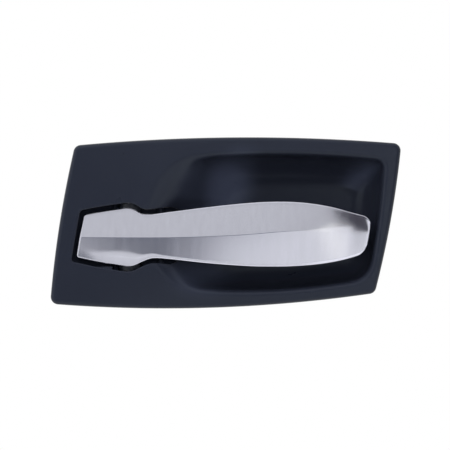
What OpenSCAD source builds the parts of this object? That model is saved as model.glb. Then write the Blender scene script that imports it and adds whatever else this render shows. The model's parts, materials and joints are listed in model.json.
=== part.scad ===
// Car interior door handle: a dished trim plate with a finger pocket, and a
// chromed pull lever that turns on an upright pin behind its head.
// X runs along the handle, Z is up and the front looks towards -Y.
// The origin is the centre of the four fixing bosses, on the plane of their ends.

/* [Trim plate] */
// Length of the plate along its top edge
plate_top_len = 143.9; // [138:0.1:150]
// Length of the plate along its bottom edge
plate_bottom_len = 143.1; // [138:0.1:150]
// Height of the plate at its left end
plate_left_h = 69.8; // [66:0.1:74]
// Height of the plate at its right end
plate_right_h = 65.9; // [62:0.1:70]
// How far the top edge stands to the right of the bottom edge
plate_rake = 11.3; // [6:0.1:14]
// How far the right end stands above the left end
plate_rise = 2.75; // [0:0.05:4]
// Outward bow of the top edge
top_bow = 3.2; // [1:0.1:5]
// Outward bow of the bottom edge
bottom_bow = 4.05; // [1:0.05:5]
// Outward bow of the two ends
end_bow = 1.35; // [0.5:0.05:2.5]
// Corner radius of the plate outline
plate_corner_r = 3.4; // [2.5:0.1:6]
// Height of the upright side wall of the plate
side_wall_h = 2.2; // [1.5:0.1:3]
// Radius of the rolled edge of the plate
edge_roll_r = 1.8; // [1.2:0.1:2.2]
// Extra height of the crowned face at the middle of the plate
crown_h = 2.6; // [1:0.1:4]
// Wall thickness of the plate
plate_wall = 2.2; // [1.6:0.1:2.8]

/* [Finger pocket] */
// Depth of the pocket floor behind the door panel face
pocket_depth = 18; // [12:0.5:20]
// Length of the pocket mouth
pocket_len = 101; // [96:0.5:104]
// Height of the plate's land above and below the pocket mouth
land_h = 6.7; // [5.5:0.1:9]
// Distance of the pocket's right end from the plate's middle
pocket_right = 69.6; // [67:0.1:71]

/* [Lever] */
// Distance from the hinge axis to the head's free end
head_len = 22.1; // [20:0.1:23]
// Distance from the hinge axis to the tip of the blade
blade_len = 105.9; // [100:0.1:112]
// Height of the head at the hinge
head_h = 26; // [24:0.1:27]
// Height of the neck between head and blade
neck_h = 19.5; // [18:0.1:21]
// Greatest height of the blade
blade_h = 28.8; // [26:0.1:31]
// Height of the blade just before its rounded tip
tip_h = 13.8; // [12:0.1:16]
// Reach of the ridge in front of the panel face at the head's free end
ridge_head = 5; // [4.5:0.1:6]
// Reach of the ridge in front of the panel face at the hinge
ridge_hinge = 7; // [6.5:0.1:8]
// Reach of the ridge at the middle of the blade
ridge_blade = 10.6; // [9.5:0.1:13]
// Reach of the ridge at the tip
ridge_tip = 5.8; // [5:0.1:8]
// Depth of the lever from its ridge to its back
lever_depth = 7.4; // [7:0.1:8]
// Wall thickness of the chromed cover
cover_wall = 1.8; // [1.4:0.1:2.2]
// Radius of the cover's long edges
cover_edge_r = 0.8; // [0.5:0.1:1]
// Angle of the upper facet
upper_slope = 14; // [10:1:16]
// Angle of the lower facet
lower_slope = 8; // [5:1:10]
// Angle of the lower bevel
bevel_slope = 24; // [15:1:28]
// Gap between the head and the plate at the head's end
gap_end = 1.65; // [1.4:0.05:2.2]
// Gap between the head and the plate above and below
gap_side = 2.1; // [1.5:0.1:2.8]

/* [Hinge] */
// Radius of the hinge pin
pin_r = 2.5; // [2:0.1:2.8]
// Wall of the two plain bushes
bush_wall = 1; // [0.8:0.1:1.2]
// Thickness of the bush flanges
flange_t = 1.2; // [1:0.1:1.6]
// Wall of the hub around a bush
hub_wall = 1.2; // [1:0.1:1.6]
// Distance of the hinge axis behind the door panel face
hinge_depth = 3.2; // [3:0.1:4]
// Opening angle of the lever
lever_travel = 38; // [30:1:40]
// Length of the crank from the hinge axis to the cable nipple
crank_len = 20.8; // [18:0.1:22]
// Radius of the nipple bore in the crank
nipple_r = 2.1; // [1.8:0.1:2.6]
// Wire radius of the return spring
wire_r = 0.6; // [0.5:0.05:0.7]
// Whole turns of the return spring
spring_turns = 6; // [4:1:7]

/* [Carrier] */
// Thickness of the carrier's hinge ears
ear_t = 3.5; // [3:0.1:4.5]
// Thickness of the carrier's back wall
web_t = 2.5; // [2:0.1:3]
// Radius of the cable sheath seat
sheath_r = 4; // [3.5:0.1:4.5]
// Radius of the rubber stops
stop_r = 2.6; // [2.2:0.1:3]
// Radius of the posts that carry the stops
stop_post_r = 1.4; // [1.2:0.1:1.6]

/* [Fixings] */
// Spacing of the fixing bosses along the handle
boss_dx = 116; // [112:1:118]
// Spacing of the fixing bosses up the handle
boss_dz = 52; // [50:1:54]
// Outer radius of the fixing bosses
boss_r = 3.4; // [3:0.1:3.6]
// Radius of the screw holes in the fixing bosses
boss_hole_r = 1.6; // [1.3:0.1:2]
// Depth of the screw holes in the fixing bosses
boss_hole_depth = 12; // [8:1:16]
// Distance from the door panel face back to the ends of the fixing bosses
fix_depth = 24; // [22:0.5:26]

/* [Hidden] */
$fn = 48;

// Clearances
run_gap = 0.04;
seat_gap = 0.02;
play = 0.3;
cover_gap = 0.15;

// Colours
plate_colour = [0.13, 0.14, 0.18];
carrier_colour = [0.18, 0.18, 0.2];
chrome_colour = [0.8, 0.8, 0.83];
steel_colour = [0.62, 0.63, 0.65];
acetal_colour = [0.88, 0.87, 0.82];
rubber_colour = [0.08, 0.08, 0.08];
foam_colour = [0.25, 0.25, 0.27];

// Plain helpers
function lerp(a, b, t) = a + (b - a) * t;
function smooth(t) = let (c = min(1, max(0, t))) c * c * (3 - 2 * c);
function unit(v) = v / norm(v);
function right_of(d) = unit([d[1], -d[0]]);

// A curve z(x) through a few stations, level with their neighbours' slope
function slope_at(k, i) =
    let (a = max(0, i - 1), b = min(len(k) - 1, i + 1)) (k[b][1] - k[a][1]) / (k[b][0] - k[a][0]);
function curve(k, x, i = 0) =
    (i < len(k) - 2 && x > k[i + 1][0]) ? curve(k, x, i + 1) :
    let (
        w = k[i + 1][0] - k[i][0],
        t = (x - k[i][0]) / w,
        m0 = slope_at(k, i) * w,
        m1 = slope_at(k, i + 1) * w
    )
    k[i][1] * (2 * t * t * t - 3 * t * t + 1) + m0 * (t * t * t - 2 * t * t + t)
    + k[i + 1][1] * (3 * t * t - 2 * t * t * t) + m1 * (t * t * t - t * t);

// Bowed line from a to b, swelling to the right-hand side by rise
function bow(a, b, rise, t) = a + (b - a) * t + right_of(b - a) * (4 * rise * t * (1 - t));
function bow_dir(a, b, rise, t) = unit(b - a + right_of(b - a) * (4 * rise * (1 - 2 * t)));

// Closed four-cornered outline with bowed sides and rounded corners, counter-clockwise
// from the bottom left corner as seen from the front
side_steps = [22, 9, 22, 9];
corner_steps = 4;
function turn_at(c, s, k) =
    let (
        j = (k + 3) % 4,
        u = bow_dir(c[j], c[k], s[j], 1),
        v = bow_dir(c[k], c[(k + 1) % 4], s[k], 0)
    ) acos(u * v);
function trim_at(c, s, r, k) = r[k] * tan(turn_at(c, s, k) / 2);
function side_point(c, s, r, k, f) =
    let (
        e = (k + 1) % 4,
        l = norm(c[e] - c[k]),
        t0 = trim_at(c, s, r, k) / l,
        t1 = 1 - trim_at(c, s, r, e) / l
    ) bow(c[k], c[e], s[k], lerp(t0, t1, f));
function corner_point(c, s, r, k, t) =
    let (
        a = side_point(c, s, r, (k + 3) % 4, 1),
        b = side_point(c, s, r, k, 0),
        w = cos(turn_at(c, s, k) / 2),
        q = (1 - t) * (1 - t) + 2 * w * t * (1 - t) + t * t
    ) (a * (1 - t) * (1 - t) + c[k] * 2 * w * t * (1 - t) + b * t * t) / q;
function outline(c, s, r) = [
    for (k = [0:3]) each concat(
        [for (j = [1:corner_steps - 1]) corner_point(c, s, r, k, j / corner_steps)],
        [for (j = [0:side_steps[k]]) side_point(c, s, r, k, j / side_steps[k])]
    )
];
function grown(p, d) = [
    for (i = [0:len(p) - 1])
        let (n = len(p), a = p[(i + n - 1) % n], b = p[(i + 1) % n]) p[i] + right_of(b - a) * d
];

// Closed skin over rings of points, each ring counter-clockwise seen from the far end.
// Where two rings share a point, the faces that would have no area are left out
module skin(rings) {
    n = len(rings[0]);
    m = len(rings);
    polyhedron(
        points = [for (r = rings) each r],
        faces = concat(
            [[for (i = [0:n - 1]) i]],
            [for (k = [0:m - 2]) for (i = [0:n - 1]) let (
                j = (i + 1) % n,
                a = rings[k][i],
                b = rings[k + 1][i],
                c = rings[k + 1][j],
                d = rings[k][j]
            ) each concat(
                a != b && b != c && c != a ? [[k * n + i, (k + 1) * n + i, (k + 1) * n + j]] : [],
                a != c && c != d && d != a ? [[k * n + i, (k + 1) * n + j, k * n + j]] : []
            )],
            [[for (i = [n - 1:-1:0]) (m - 1) * n + i]]
        ),
        convexity = 8
    );
}

// Everything is drawn from the door panel face and set back to the fixing plane
module from_panel() {
    translate([0, -fix_depth, 0]) children();
}
module rod(x, y, z0, z1, r) {
    translate([x, y, z0]) cylinder(h = z1 - z0, r = r);
}
module peg(x, z, y0, y1, r) {
    translate([x, y1, z]) rotate([90, 0, 0]) cylinder(h = y1 - y0, r = r);
}
module block(x0, x1, y0, y1, z0, z1) {
    translate([x0, y0, z0]) cube([x1 - x0, y1 - y0, z1 - z0]);
}

// Plate outline
plate_c = [
    [-plate_rake / 2 - plate_bottom_len / 2, -plate_left_h / 2 - plate_rise / 2],
    [-plate_rake / 2 + plate_bottom_len / 2, -plate_right_h / 2 + plate_rise / 2],
    [plate_rake / 2 + plate_top_len / 2, plate_right_h / 2 + plate_rise / 2],
    [plate_rake / 2 - plate_top_len / 2, plate_left_h / 2 - plate_rise / 2]
];
plate_s = [bottom_bow, end_bow, top_bow, end_bow];
plate_r = [for (k = [0:3]) plate_corner_r];
plate_edge = outline(plate_c, plate_s, plate_r);

// Height of the crowned face in front of the panel
face_x = plate_top_len / 2 + plate_rake / 2 + 2;
face_z = plate_left_h / 2 + top_bow + 1;
function face_h(p) = side_wall_h + edge_roll_r
    + crown_h * max(0, 1 - pow(abs(p[0]) / face_x, 2.4)) * max(0, 1 - pow(abs(p[1]) / face_z, 2.4));

// Pocket mouth and floor
pocket_h = min(plate_left_h, plate_right_h) - 2 * land_h;
pocket_left = pocket_right - pocket_len;
mouth_c = [
    [pocket_left, -pocket_h / 2 - 1.45],
    [pocket_right - 6.6, -pocket_h / 2 + 1.25],
    [pocket_right, pocket_h / 2 + 0.3],
    [pocket_left, pocket_h / 2 - 0.4]
];
end_r = pocket_h * 0.45;
mouth = outline(mouth_c, [3.9, 0.9, 3.1, 1], [end_r, 11, 3.2, end_r]);
floor_in = 13;
ramp_len = 36;
right_in = 14;
floor_c = [
    [pocket_left + ramp_len, -pocket_h / 2 + floor_in],
    [pocket_right - right_in - 4, -pocket_h / 2 + floor_in + 1],
    [pocket_right - right_in, pocket_h / 2 - floor_in],
    [pocket_left + ramp_len - 1, pocket_h / 2 - floor_in]
];
pocket_floor = outline(floor_c, [1.5, 1, 1.5, 1], [7, 7, 6, 7]);

// Share of the steep bowl wall: little at the soft left ramp, all further right
function steep(p) = lerp(0.28, 1, smooth((p[0] - pocket_left - 4) / 30));
function bowl_in(p, f) = lerp(f, 1 - cos(90 * f), steep(p));
function bowl_down(p, f) = lerp(smooth(f), sin(90 * f), steep(p));
function bowl_ring(rim, h_rim, h_floor, f) = [
    for (i = [0:len(rim) - 1])
        let (
            p = lerp(rim[i], pocket_floor[i], bowl_in(mouth[i], f)),
            h = lerp(h_rim[i], h_floor, bowl_down(mouth[i], f))
        ) [p[0], -h, p[1]]
];
function flat_ring(p, h) = [for (q = p) [q[0], -h, q[1]]];
function land_ring(a, b, f, drop) = [
    for (i = [0:len(a) - 1]) let (q = lerp(a[i], b[i], f)) [q[0], -face_h(q) + drop, q[1]]
];
function roll_ring(v) = [
    for (i = [0:len(plate_edge) - 1])
        let (
            rolled = grown(plate_edge, -edge_roll_r * (1 - cos(v))),
            full = grown(plate_edge, -edge_roll_r)
        ) [rolled[i][0], -lerp(side_wall_h, face_h(full[i]), sin(v)), rolled[i][1]]
];

roll_line = grown(plate_edge, -edge_roll_r);
rim_inner = grown(plate_edge, -plate_wall);
mouth_outer = grown(mouth, plate_wall);
mouth_h = [for (p = mouth) face_h(p) - 0.3];
back_h = [for (p = mouth_outer) face_h(p) - plate_wall];
bowl_steps = [0.07, 0.18, 0.3, 0.45, 0.6, 0.78, 1];
back_steps = [1, 0.8, 0.6, 0.4, 0.2];

module plate_shell() {
    skin(concat(
        [for (f = back_steps) bowl_ring(mouth_outer, back_h, -pocket_depth - plate_wall, f)],
        [land_ring(rim_inner, mouth_outer, 1, plate_wall)],
        [land_ring(rim_inner, mouth_outer, 0.5, plate_wall)],
        [land_ring(rim_inner, mouth_outer, 0.04, plate_wall)],
        [flat_ring(rim_inner, 0)],
        [flat_ring(plate_edge, 0)],
        [for (v = [0, 30, 60, 90]) roll_ring(v)],
        [for (f = [0.3, 0.62]) land_ring(roll_line, mouth, f, 0)],
        [land_ring(roll_line, grown(mouth, 0.8), 1, 0)],
        [for (f = concat([0.002], bowl_steps)) bowl_ring(mouth, mouth_h, -pocket_depth, f)]
    ));
}

// Lever layout. The hinge axis is upright, and the section planes lean with the rake
// of the lever's two ends
hinge_x = -42.2;
lever_z = -6.9;
lean = 0.175;
lever_start = hinge_x - head_len;
lever_end = hinge_x + blade_len;
function leaned(s, z) = s + lean * (z - lever_z);

neck_z = lever_z + 0.4;
blade_z = lever_z + 1.4;
top_keys = [
    [lever_start, lever_z + head_h / 2 - 3],
    [lever_start + 6.7, lever_z + head_h / 2 - 1.7],
    [hinge_x - 7, lever_z + head_h / 2 - 0.4],
    [hinge_x - 2.8, lever_z + head_h / 2],
    [hinge_x, lever_z + head_h / 2 - 0.8],
    [hinge_x + 3.8, neck_z + neck_h / 2 + 0.25],
    [hinge_x + 6.6, neck_z + neck_h / 2],
    [hinge_x + 16, neck_z + neck_h / 2 + 1.15],
    [hinge_x + 33, neck_z + neck_h / 2 + 3.35],
    [hinge_x + 50.6, blade_z + blade_h / 2 - 0.5],
    [hinge_x + 63.7, blade_z + blade_h / 2],
    [hinge_x + 75, blade_z + blade_h / 2 - 0.55],
    [lever_end - 19.5, blade_z + tip_h / 2 + 5.2],
    [lever_end - 10.3, blade_z + tip_h / 2 + 2.8],
    [lever_end, blade_z + tip_h / 2 - 1.6]
];
bottom_keys = [
    [lever_start, lever_z - head_h / 2 + 4.1],
    [hinge_x - 12, lever_z - head_h / 2 + 2],
    [hinge_x - 4.5, lever_z - head_h / 2 + 0.8],
    [hinge_x + 1.8, lever_z - head_h / 2],
    [hinge_x + 4.3, lever_z - head_h / 2 + 0.4],
    [hinge_x + 7.5, neck_z - neck_h / 2 - 1.6],
    [hinge_x + 10.9, neck_z - neck_h / 2 - 0.2],
    [hinge_x + 13.7, neck_z - neck_h / 2 + 0.05],
    [hinge_x + 20, neck_z - neck_h / 2 - 0.45],
    [hinge_x + 37.7, neck_z - neck_h / 2 - 2.3],
    [hinge_x + 55.5, blade_z - blade_h / 2 + 0.15],
    [hinge_x + 64.2, blade_z - blade_h / 2],
    [hinge_x + 73.2, blade_z - blade_h / 2 + 0.1],
    [lever_end - 20.4, blade_z - tip_h / 2 - 6.45],
    [lever_end - 10.2, blade_z - tip_h / 2 - 4.65],
    [lever_end, blade_z - tip_h / 2 - 1.6]
];
ridge_z_keys = [
    [lever_start, lever_z - 0.1],
    [hinge_x + 20, lever_z - 0.1],
    [hinge_x + 48.7, lever_z + 1],
    [hinge_x + 70.7, lever_z + 2.7],
    [lever_end - 13, lever_z + 3.2],
    [lever_end, lever_z + 3.2]
];
bevel_keys = [
    [lever_start, 4.6],
    [hinge_x - 13.6, 5],
    [hinge_x + 1.6, 6],
    [hinge_x + 8, 3.4],
    [hinge_x + 14, 1.7],
    [hinge_x + 19.5, 1.3],
    [hinge_x + 38, 1.2],
    [lever_end, 1.2]
];
ridge_keys = [
    [lever_start, ridge_head],
    [hinge_x, ridge_hinge],
    [hinge_x + 22, lerp(ridge_hinge, ridge_blade, 0.5)],
    [hinge_x + 57, ridge_blade],
    [lever_end - 23.5, ridge_blade - 1],
    [lever_end, ridge_tip]
];
function ridge_h(s) = curve(ridge_keys, s);

// Rounding of the lever's ends: how much is lost at a distance from the end
function lost(d, a, b) = d >= a ? 0 : b * (1 - sqrt(1 - pow((a - d) / a, 2)));
function end_loss(s, head_a, head_b, tip_a, tip_b) =
    lost(s - lever_start, head_a, head_b) + lost(lever_end - s, tip_a, tip_b);
function top_z(s) = curve(top_keys, s) - end_loss(s, 1.6, 1.6, 2.4, 2.6);
function bottom_z(s) = curve(bottom_keys, s) + end_loss(s, 1.4, 1.4, 4, 6);
function ridge_z(s) = curve(ridge_z_keys, s);

// The facets fade into one soft face towards the tip
function facet_share(s) = 1 - 0.7 * smooth((s - hinge_x - 70) / 35);

// One cross-section of the cover: ridge, lower facet, bevel, bottom wall, the cavity from
// bottom to top, top wall and upper facet. A cavity of no depth lies flat on the back
function section(s, hollow) =
    let (
        r = cover_edge_r,
        w = cover_wall,
        back = -cover_back(s),
        zt = top_z(s),
        zb = bottom_z(s),
        zr = ridge_z(s),
        zc = zb + curve(bevel_keys, s),
        h0 = ridge_h(s) - end_loss(s, r, r, 1.2, 1.2),
        k = facet_share(s),
        ht = h0 - k * tan(upper_slope) * (zt - r - zr),
        hc = h0 - k * tan(lower_slope) * (zr - zc),
        hb = hc - tan(bevel_slope) * (zc - zb - r),
        soft = 0.12 * (1 - k) * (zt - zr),
        inner = [
            [zb + w, back],
            [zb + w, hb - w * 0.9],
            [zc + 0.6, hc - w],
            [zr, h0 - w],
            [zt - w, ht - w * 0.95],
            [zt - w, back]
        ],
        pts = concat(
            [
                [zr, h0 - 0.06],
                [zr - 0.7, h0 - k * tan(lower_slope) * 0.7],
                [lerp(zr, zc, 0.5), lerp(h0, hc, 0.5)],
                [zc + 0.3, hc],
                [zc - 0.3, hc - 0.2],
                [zb + r, hb],
                [zb + r * 0.3, hb - r * 0.3],
                [zb, hb - r],
                [zb, back]
            ],
            hollow ? inner : [for (f = [0, 0, 0.35, 0.65, 1, 1]) [lerp(zb + w, zt - w, f), back]],
            [
                [zt, back],
                [zt, ht - r],
                [zt - r * 0.3, ht - r * 0.3],
                [zt - r, ht],
                [lerp(zt - r, zr, 0.5), lerp(ht, h0, 0.5) + soft],
                [zr + 0.7, h0 - k * tan(upper_slope) * 0.7]
            ]
        )
    ) [for (q = pts) [leaned(s, q[0]), -q[1], q[0]]];

cavity_start = lever_start + cover_wall;
cavity_end = lever_end - cover_wall - 1.5;
solid_head = [for (f = [0, 0.12, 0.35, 0.7, 1.1, 1.8]) lever_start + min(f, cover_wall)];
hollow_part = concat(
    [for (f = [0:0.25:0.75]) lerp(cavity_start, hinge_x - 6, f)],
    [for (s = [-6:1.5:15]) hinge_x + s],
    [for (f = [0.05:0.09:0.96]) lerp(hinge_x + 15, cavity_end, f)],
    [cavity_end]
);
solid_tip = [for (f = [1, 0.65, 0.4, 0.2, 0.06, 0]) lerp(lever_end, cavity_end, f)];
function cover_back(s) = lever_depth - ridge_h(s);

// Screw places along the lever, from the hinge axis
cover_screw_s = [-head_len + 8.5, 34, 84];
hub_r = pin_r + bush_wall + hub_wall;
hub_relief = hub_r + 0.6;
core_depth = 3.4;
core_front = cover_wall + core_depth;
screw_back = 12;
post_gap = 0.4;

module lever_cover() {
    color(chrome_colour) from_panel() difference() {
        union() {
            skin(concat(
                [for (s = solid_head) section(s, false)],
                [for (s = hollow_part) section(s, true)],
                [for (s = solid_tip) section(s, false)]
            ));
            for (s = cover_screw_s)
                let (h = ridge_h(hinge_x + s))
                    peg(hinge_x + s, ridge_z(hinge_x + s), -h + 1, -h + core_front - post_gap, 2.6);
        }
        for (s = cover_screw_s)
            let (h = ridge_h(hinge_x + s))
                peg(hinge_x + s, ridge_z(hinge_x + s), -h + cover_wall, -h + core_front + 1, 1.05);
        rod(hinge_x, hinge_depth, -40, 30, hub_relief);
    }
}

// Outline of the lever seen from the front at some stations along it, shrunk by d
function lever_outline(d, stations) = concat(
    [for (s = stations) let (z = bottom_z(s) + d) [leaned(s, z), z]],
    [for (i = [len(stations) - 1:-1:0]) let (s = stations[i], z = top_z(s) - d) [leaned(s, z), z]]
);

core_inset = cover_wall + cover_gap;
core_stations = concat(
    [cavity_start + cover_gap],
    [for (s = hollow_part) if (s > cavity_start && s < cavity_end) s],
    [cavity_end - cover_gap]
);
ear_top_z = 8.2;
ear_bottom_z = -22.1;
hub_top = ear_top_z - play - flange_t;
hub_bottom = ear_bottom_z + play + flange_t;
hub_len = 9.6;
low_hub_len = 6.9;
crank_t = 4;
crank_z = hub_top - hub_len;
crank_w = 7;
nipple_y = hinge_depth + crank_len;

module core_band() {
    n = 30;
    s0 = lever_start - 3;
    s1 = lever_end + 3;
    translate([0, 0, -40]) linear_extrude(height = 70) polygon(concat(
        [for (i = [0:n]) let (s = lerp(s0, s1, i / n)) [s, -ridge_h(s) + core_front]],
        [for (i = [n:-1:0]) let (s = lerp(s0, s1, i / n)) [s, cover_back(s)]]
    ));
}
module lever_core() {
    color(carrier_colour) from_panel() difference() {
        union() {
            intersection() {
                core_band();
                translate([0, 40, 0]) rotate([90, 0, 0]) linear_extrude(height = 80)
                    polygon(lever_outline(core_inset, core_stations));
            }
            rod(hinge_x, hinge_depth, hub_top - hub_len, hub_top, hub_r);
            rod(hinge_x, hinge_depth, hub_bottom, hub_bottom + low_hub_len, hub_r);
            translate([hinge_x, hinge_depth, crank_z]) linear_extrude(height = crank_t) {
                translate([0, crank_len]) circle(r = nipple_r + 2.2);
                polygon([
                    [-crank_w / 2, 0],
                    [crank_w / 2, 0],
                    [crank_w / 2, crank_len],
                    [-crank_w / 2, crank_len]
                ]);
            }
        }
        rod(hinge_x, hinge_depth, hub_bottom - 1, hub_top + 1, pin_r + bush_wall + seat_gap);
        rod(hinge_x, hinge_depth, hub_bottom + low_hub_len, hub_top - hub_len, hub_r + 0.4);
        rod(hinge_x, nipple_y, crank_z - 1, crank_z + crank_t + 1, nipple_r);
        block(hinge_x - 10, hinge_x, nipple_y - 0.7, nipple_y + 0.7, crank_z - 1, crank_z + crank_t + 1);
        for (s = cover_screw_s) {
            h = ridge_h(hinge_x + s);
            peg(hinge_x + s, ridge_z(hinge_x + s), -h + core_front - 1, screw_back, 1.3);
            peg(hinge_x + s, ridge_z(hinge_x + s), -h + lever_depth - 1.4, screw_back, 2.5);
        }
    }
}
module cover_screws() {
    color(steel_colour) from_panel() for (s = cover_screw_s) {
        h = ridge_h(hinge_x + s);
        peg(hinge_x + s, ridge_z(hinge_x + s), -h + cover_wall + 0.4, -h + lever_depth - 1, 1);
        peg(hinge_x + s, ridge_z(hinge_x + s), -h + lever_depth - 1.4, -h + lever_depth - 0.2, 2.2);
    }
}

// Opening in the plate that the lever's head lies in and its neck passes through
throat_s = hinge_x + 24;
function cutout() =
    let (
        n = 30,
        s0 = lever_start - gap_end,
        cut = [for (i = [0:n]) lerp(s0, throat_s, i / n)],
        top = [for (s = cut) let (z = curve(top_keys, max(s, lever_start)) + gap_side
            - lost(s - s0, 1.8, 1.8) - lost(throat_s - s, 9, 8)) [leaned(s, z), z]],
        low = [for (s = cut) let (z = curve(bottom_keys, max(s, lever_start)) - gap_side
            + lost(s - s0, 1.8, 1.8) + lost(throat_s - s, 5, 5)) [leaned(s, z), z]]
    ) concat(low, [for (i = [n:-1:0]) top[i]]);

// Places that the plate and its neighbours share
boss_at = [for (x = [-1, 1]) for (z = [-1, 1]) [x * boss_dx / 2, z * boss_dz / 2]];
lug_y = 3;
lug_t = 3;
lug_at = [[hinge_x - 8.4, 17.5], [hinge_x + 12, 17.5], [hinge_x - 8.4, -31], [hinge_x + 12, -31]];
lug_half = 3.9;
lug_reach = 4.1;
lug_rib_t = 1.6;
lug_hole_r = 1.7;
tab_t = 1.4;
tab_w = 9;
tab_end = 8;
tab_inset = 4.3;

// Place at share t along the plate's upper or lower edge, set in from it
function along_edge(t, side, inset) =
    let (
        a = plate_c[side > 0 ? 3 : 0],
        b = plate_c[side > 0 ? 2 : 1],
        rise = side > 0 ? top_bow : bottom_bow
    ) lerp(a, b, t) + [0, side * (4 * rise * t * (1 - t) - inset)];
function share_at(x, side) =
    let (a = plate_c[side > 0 ? 3 : 0], b = plate_c[side > 0 ? 2 : 1]) (x - a[0]) / (b[0] - a[0]);
tab_shares = [[0.363, 1], [0.442, -1], [0.697, 1], [0.092, -1]];
tab_at = [for (t = tab_shares) along_edge(t[0], t[1], tab_inset)];

shoulder_y = pocket_depth - 3.8;
fin_t = 1.6;
fin_short = 4;
fin_play = 0.5;
boss_front = -3;
module fin(p) {
    side = sign(p[1]);
    far = p[1] + side * (boss_r - 0.5);
    tip = along_edge(share_at(p[0], side), side, plate_wall + fin_play)[1];
    block(p[0] - fin_t / 2, p[0] + fin_t / 2, boss_front, fix_depth - fin_short, min(far, tip), max(far, tip));
}
module trim_plate() {
    color(plate_colour) from_panel() difference() {
        union() {
            difference() {
                plate_shell();
                translate([0, 9, 0]) rotate([90, 0, 0]) linear_extrude(height = 24) polygon(cutout());
            }
            for (p = boss_at) difference() {
                union() {
                    peg(p[0], p[1], p[0] > 0 ? shoulder_y : boss_front, fix_depth, boss_r);
                    fin(p);
                }
                peg(p[0], p[1], fix_depth - boss_hole_depth, fix_depth + 1, boss_hole_r);
            }
            for (p = lug_at) peg(p[0], p[1], -4.2, lug_y, 3.1);
            for (p = tab_at) block(p[0] - tab_w / 2, p[0] + tab_w / 2, -4, tab_end,
                p[1] - tab_t / 2, p[1] + tab_t / 2);
        }
        for (p = lug_at) peg(p[0], p[1], -2.6, lug_y + 1, 1.3);
    }
}

// Carrier: a tub that the lever's head swings into, with the two hinge ears as its upper
// and lower walls, four screw lugs, the cable seat and two posts for the rubber stops
web_y = 18;
tub_wall = 1.9;
tub_left = lever_start - gap_end - 4;
tub_low = -21.8;
tub_high = ear_top_z + tub_wall;
tub_front = -1.5;
neck_front = 9;
neck_play = 1.3;
ear_left = hinge_x - 9.5;
ear_right = hinge_x + 22.5;
top_z1 = ear_top_z + ear_t;
low_z0 = ear_bottom_z - ear_t;
seat_x0 = tub_left + 0.4;
seat_x1 = tub_left + 8;
cable_z = crank_z + crank_t / 2;
rest_post = [hinge_x - crank_w / 2 - stop_r - play, hinge_depth + 11.5];
open_reach = 14;
open_off = crank_w / 2 + stop_r + play;
open_post = [
    hinge_x + open_reach * sin(lever_travel) + open_off * cos(lever_travel),
    hinge_depth + open_reach * cos(lever_travel) - open_off * sin(lever_travel)
];
stop_z0 = crank_z - 1;
stop_z1 = crank_z + crank_t + 1;

// Shape seen from the front, standing from one depth to another
module upright(y0, y1) {
    translate([0, y1, 0]) rotate([90, 0, 0]) linear_extrude(height = y1 - y0) children();
}
module tub() {
    difference() {
        upright(tub_front, web_y + web_t) polygon([
            [leaned(tub_left, tub_low), tub_low],
            [ear_left, tub_low],
            [ear_left, low_z0],
            [ear_right, low_z0],
            [ear_right, top_z1 - 6],
            [ear_right - 4, top_z1],
            [ear_left, top_z1],
            [ear_left, tub_high],
            [leaned(tub_left, tub_high), tub_high]
        ]);
        upright(tub_front - 1, web_y) polygon([
            [leaned(tub_left + tub_wall, tub_low), tub_low + tub_wall],
            [ear_left + tub_wall, tub_low + tub_wall],
            [ear_left + tub_wall, ear_bottom_z],
            [ear_right - tub_wall, ear_bottom_z],
            [ear_right - tub_wall, ear_top_z - 3.4],
            [ear_right - tub_wall - 2.3, ear_top_z],
            [leaned(tub_left + tub_wall, ear_top_z), ear_top_z]
        ]);
        block(hinge_x + hub_r + neck_play, ear_right + 1, tub_front - 1, neck_front, low_z0 - 1, top_z1 + 1);
    }
}
module rear_carrier() {
    color(carrier_colour) from_panel() difference() {
        union() {
            tub();
            rod(hinge_x, hinge_depth, ear_top_z, top_z1, 5);
            rod(hinge_x, hinge_depth, low_z0, ear_bottom_z, 5);
            block(seat_x0, seat_x1, web_y, nipple_y + 1.6, cable_z - sheath_r - 2.4, cable_z + sheath_r + 2.4);
            for (p = lug_at) {
                up = p[1] > 0;
                block(p[0] - lug_half, p[0] + lug_half, lug_y, lug_y + lug_t,
                    up ? ear_top_z + 1 : p[1] - lug_reach, up ? p[1] + lug_reach : ear_bottom_z - 1);
                for (side = [-1, 1])
                    let (x = p[0] + side * (lug_half - lug_rib_t / 2))
                        block(x - lug_rib_t / 2, x + lug_rib_t / 2, lug_y + lug_t - 0.5, web_y,
                            up ? top_z1 - 1 : low_z0 - 2.6, up ? top_z1 + 2.6 : low_z0 + 1);
            }
            rod(rest_post[0], rest_post[1], ear_bottom_z - 1, ear_top_z + 1, stop_post_r);
            rod(open_post[0], open_post[1], ear_bottom_z - 1, ear_top_z + 1, stop_post_r);
        }
        block(hinge_x - crank_w / 2 - 0.8, ear_right - 4, web_y - 1, web_y + web_t + 1,
            crank_z - 1.2, crank_z + crank_t + 1.2);
        translate([tub_left - 1, nipple_y, cable_z]) rotate([0, 90, 0])
            cylinder(h = seat_x1 - tub_left + 2, r = sheath_r);
        for (p = lug_at) peg(p[0], p[1], lug_y - 1, lug_y + lug_t + 1, lug_hole_r);
        rod(hinge_x, hinge_depth, low_z0 - 1, top_z1 + 1, pin_r + seat_gap);
    }
}
module stop_sleeve(p) {
    color(rubber_colour) from_panel() difference() {
        rod(p[0], p[1], stop_z0, stop_z1, stop_r);
        rod(p[0], p[1], stop_z0 - 1, stop_z1 + 1, stop_post_r + seat_gap);
    }
}
module rest_bumper() {
    stop_sleeve(rest_post);
}
module open_bumper() {
    stop_sleeve(open_post);
}

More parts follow.
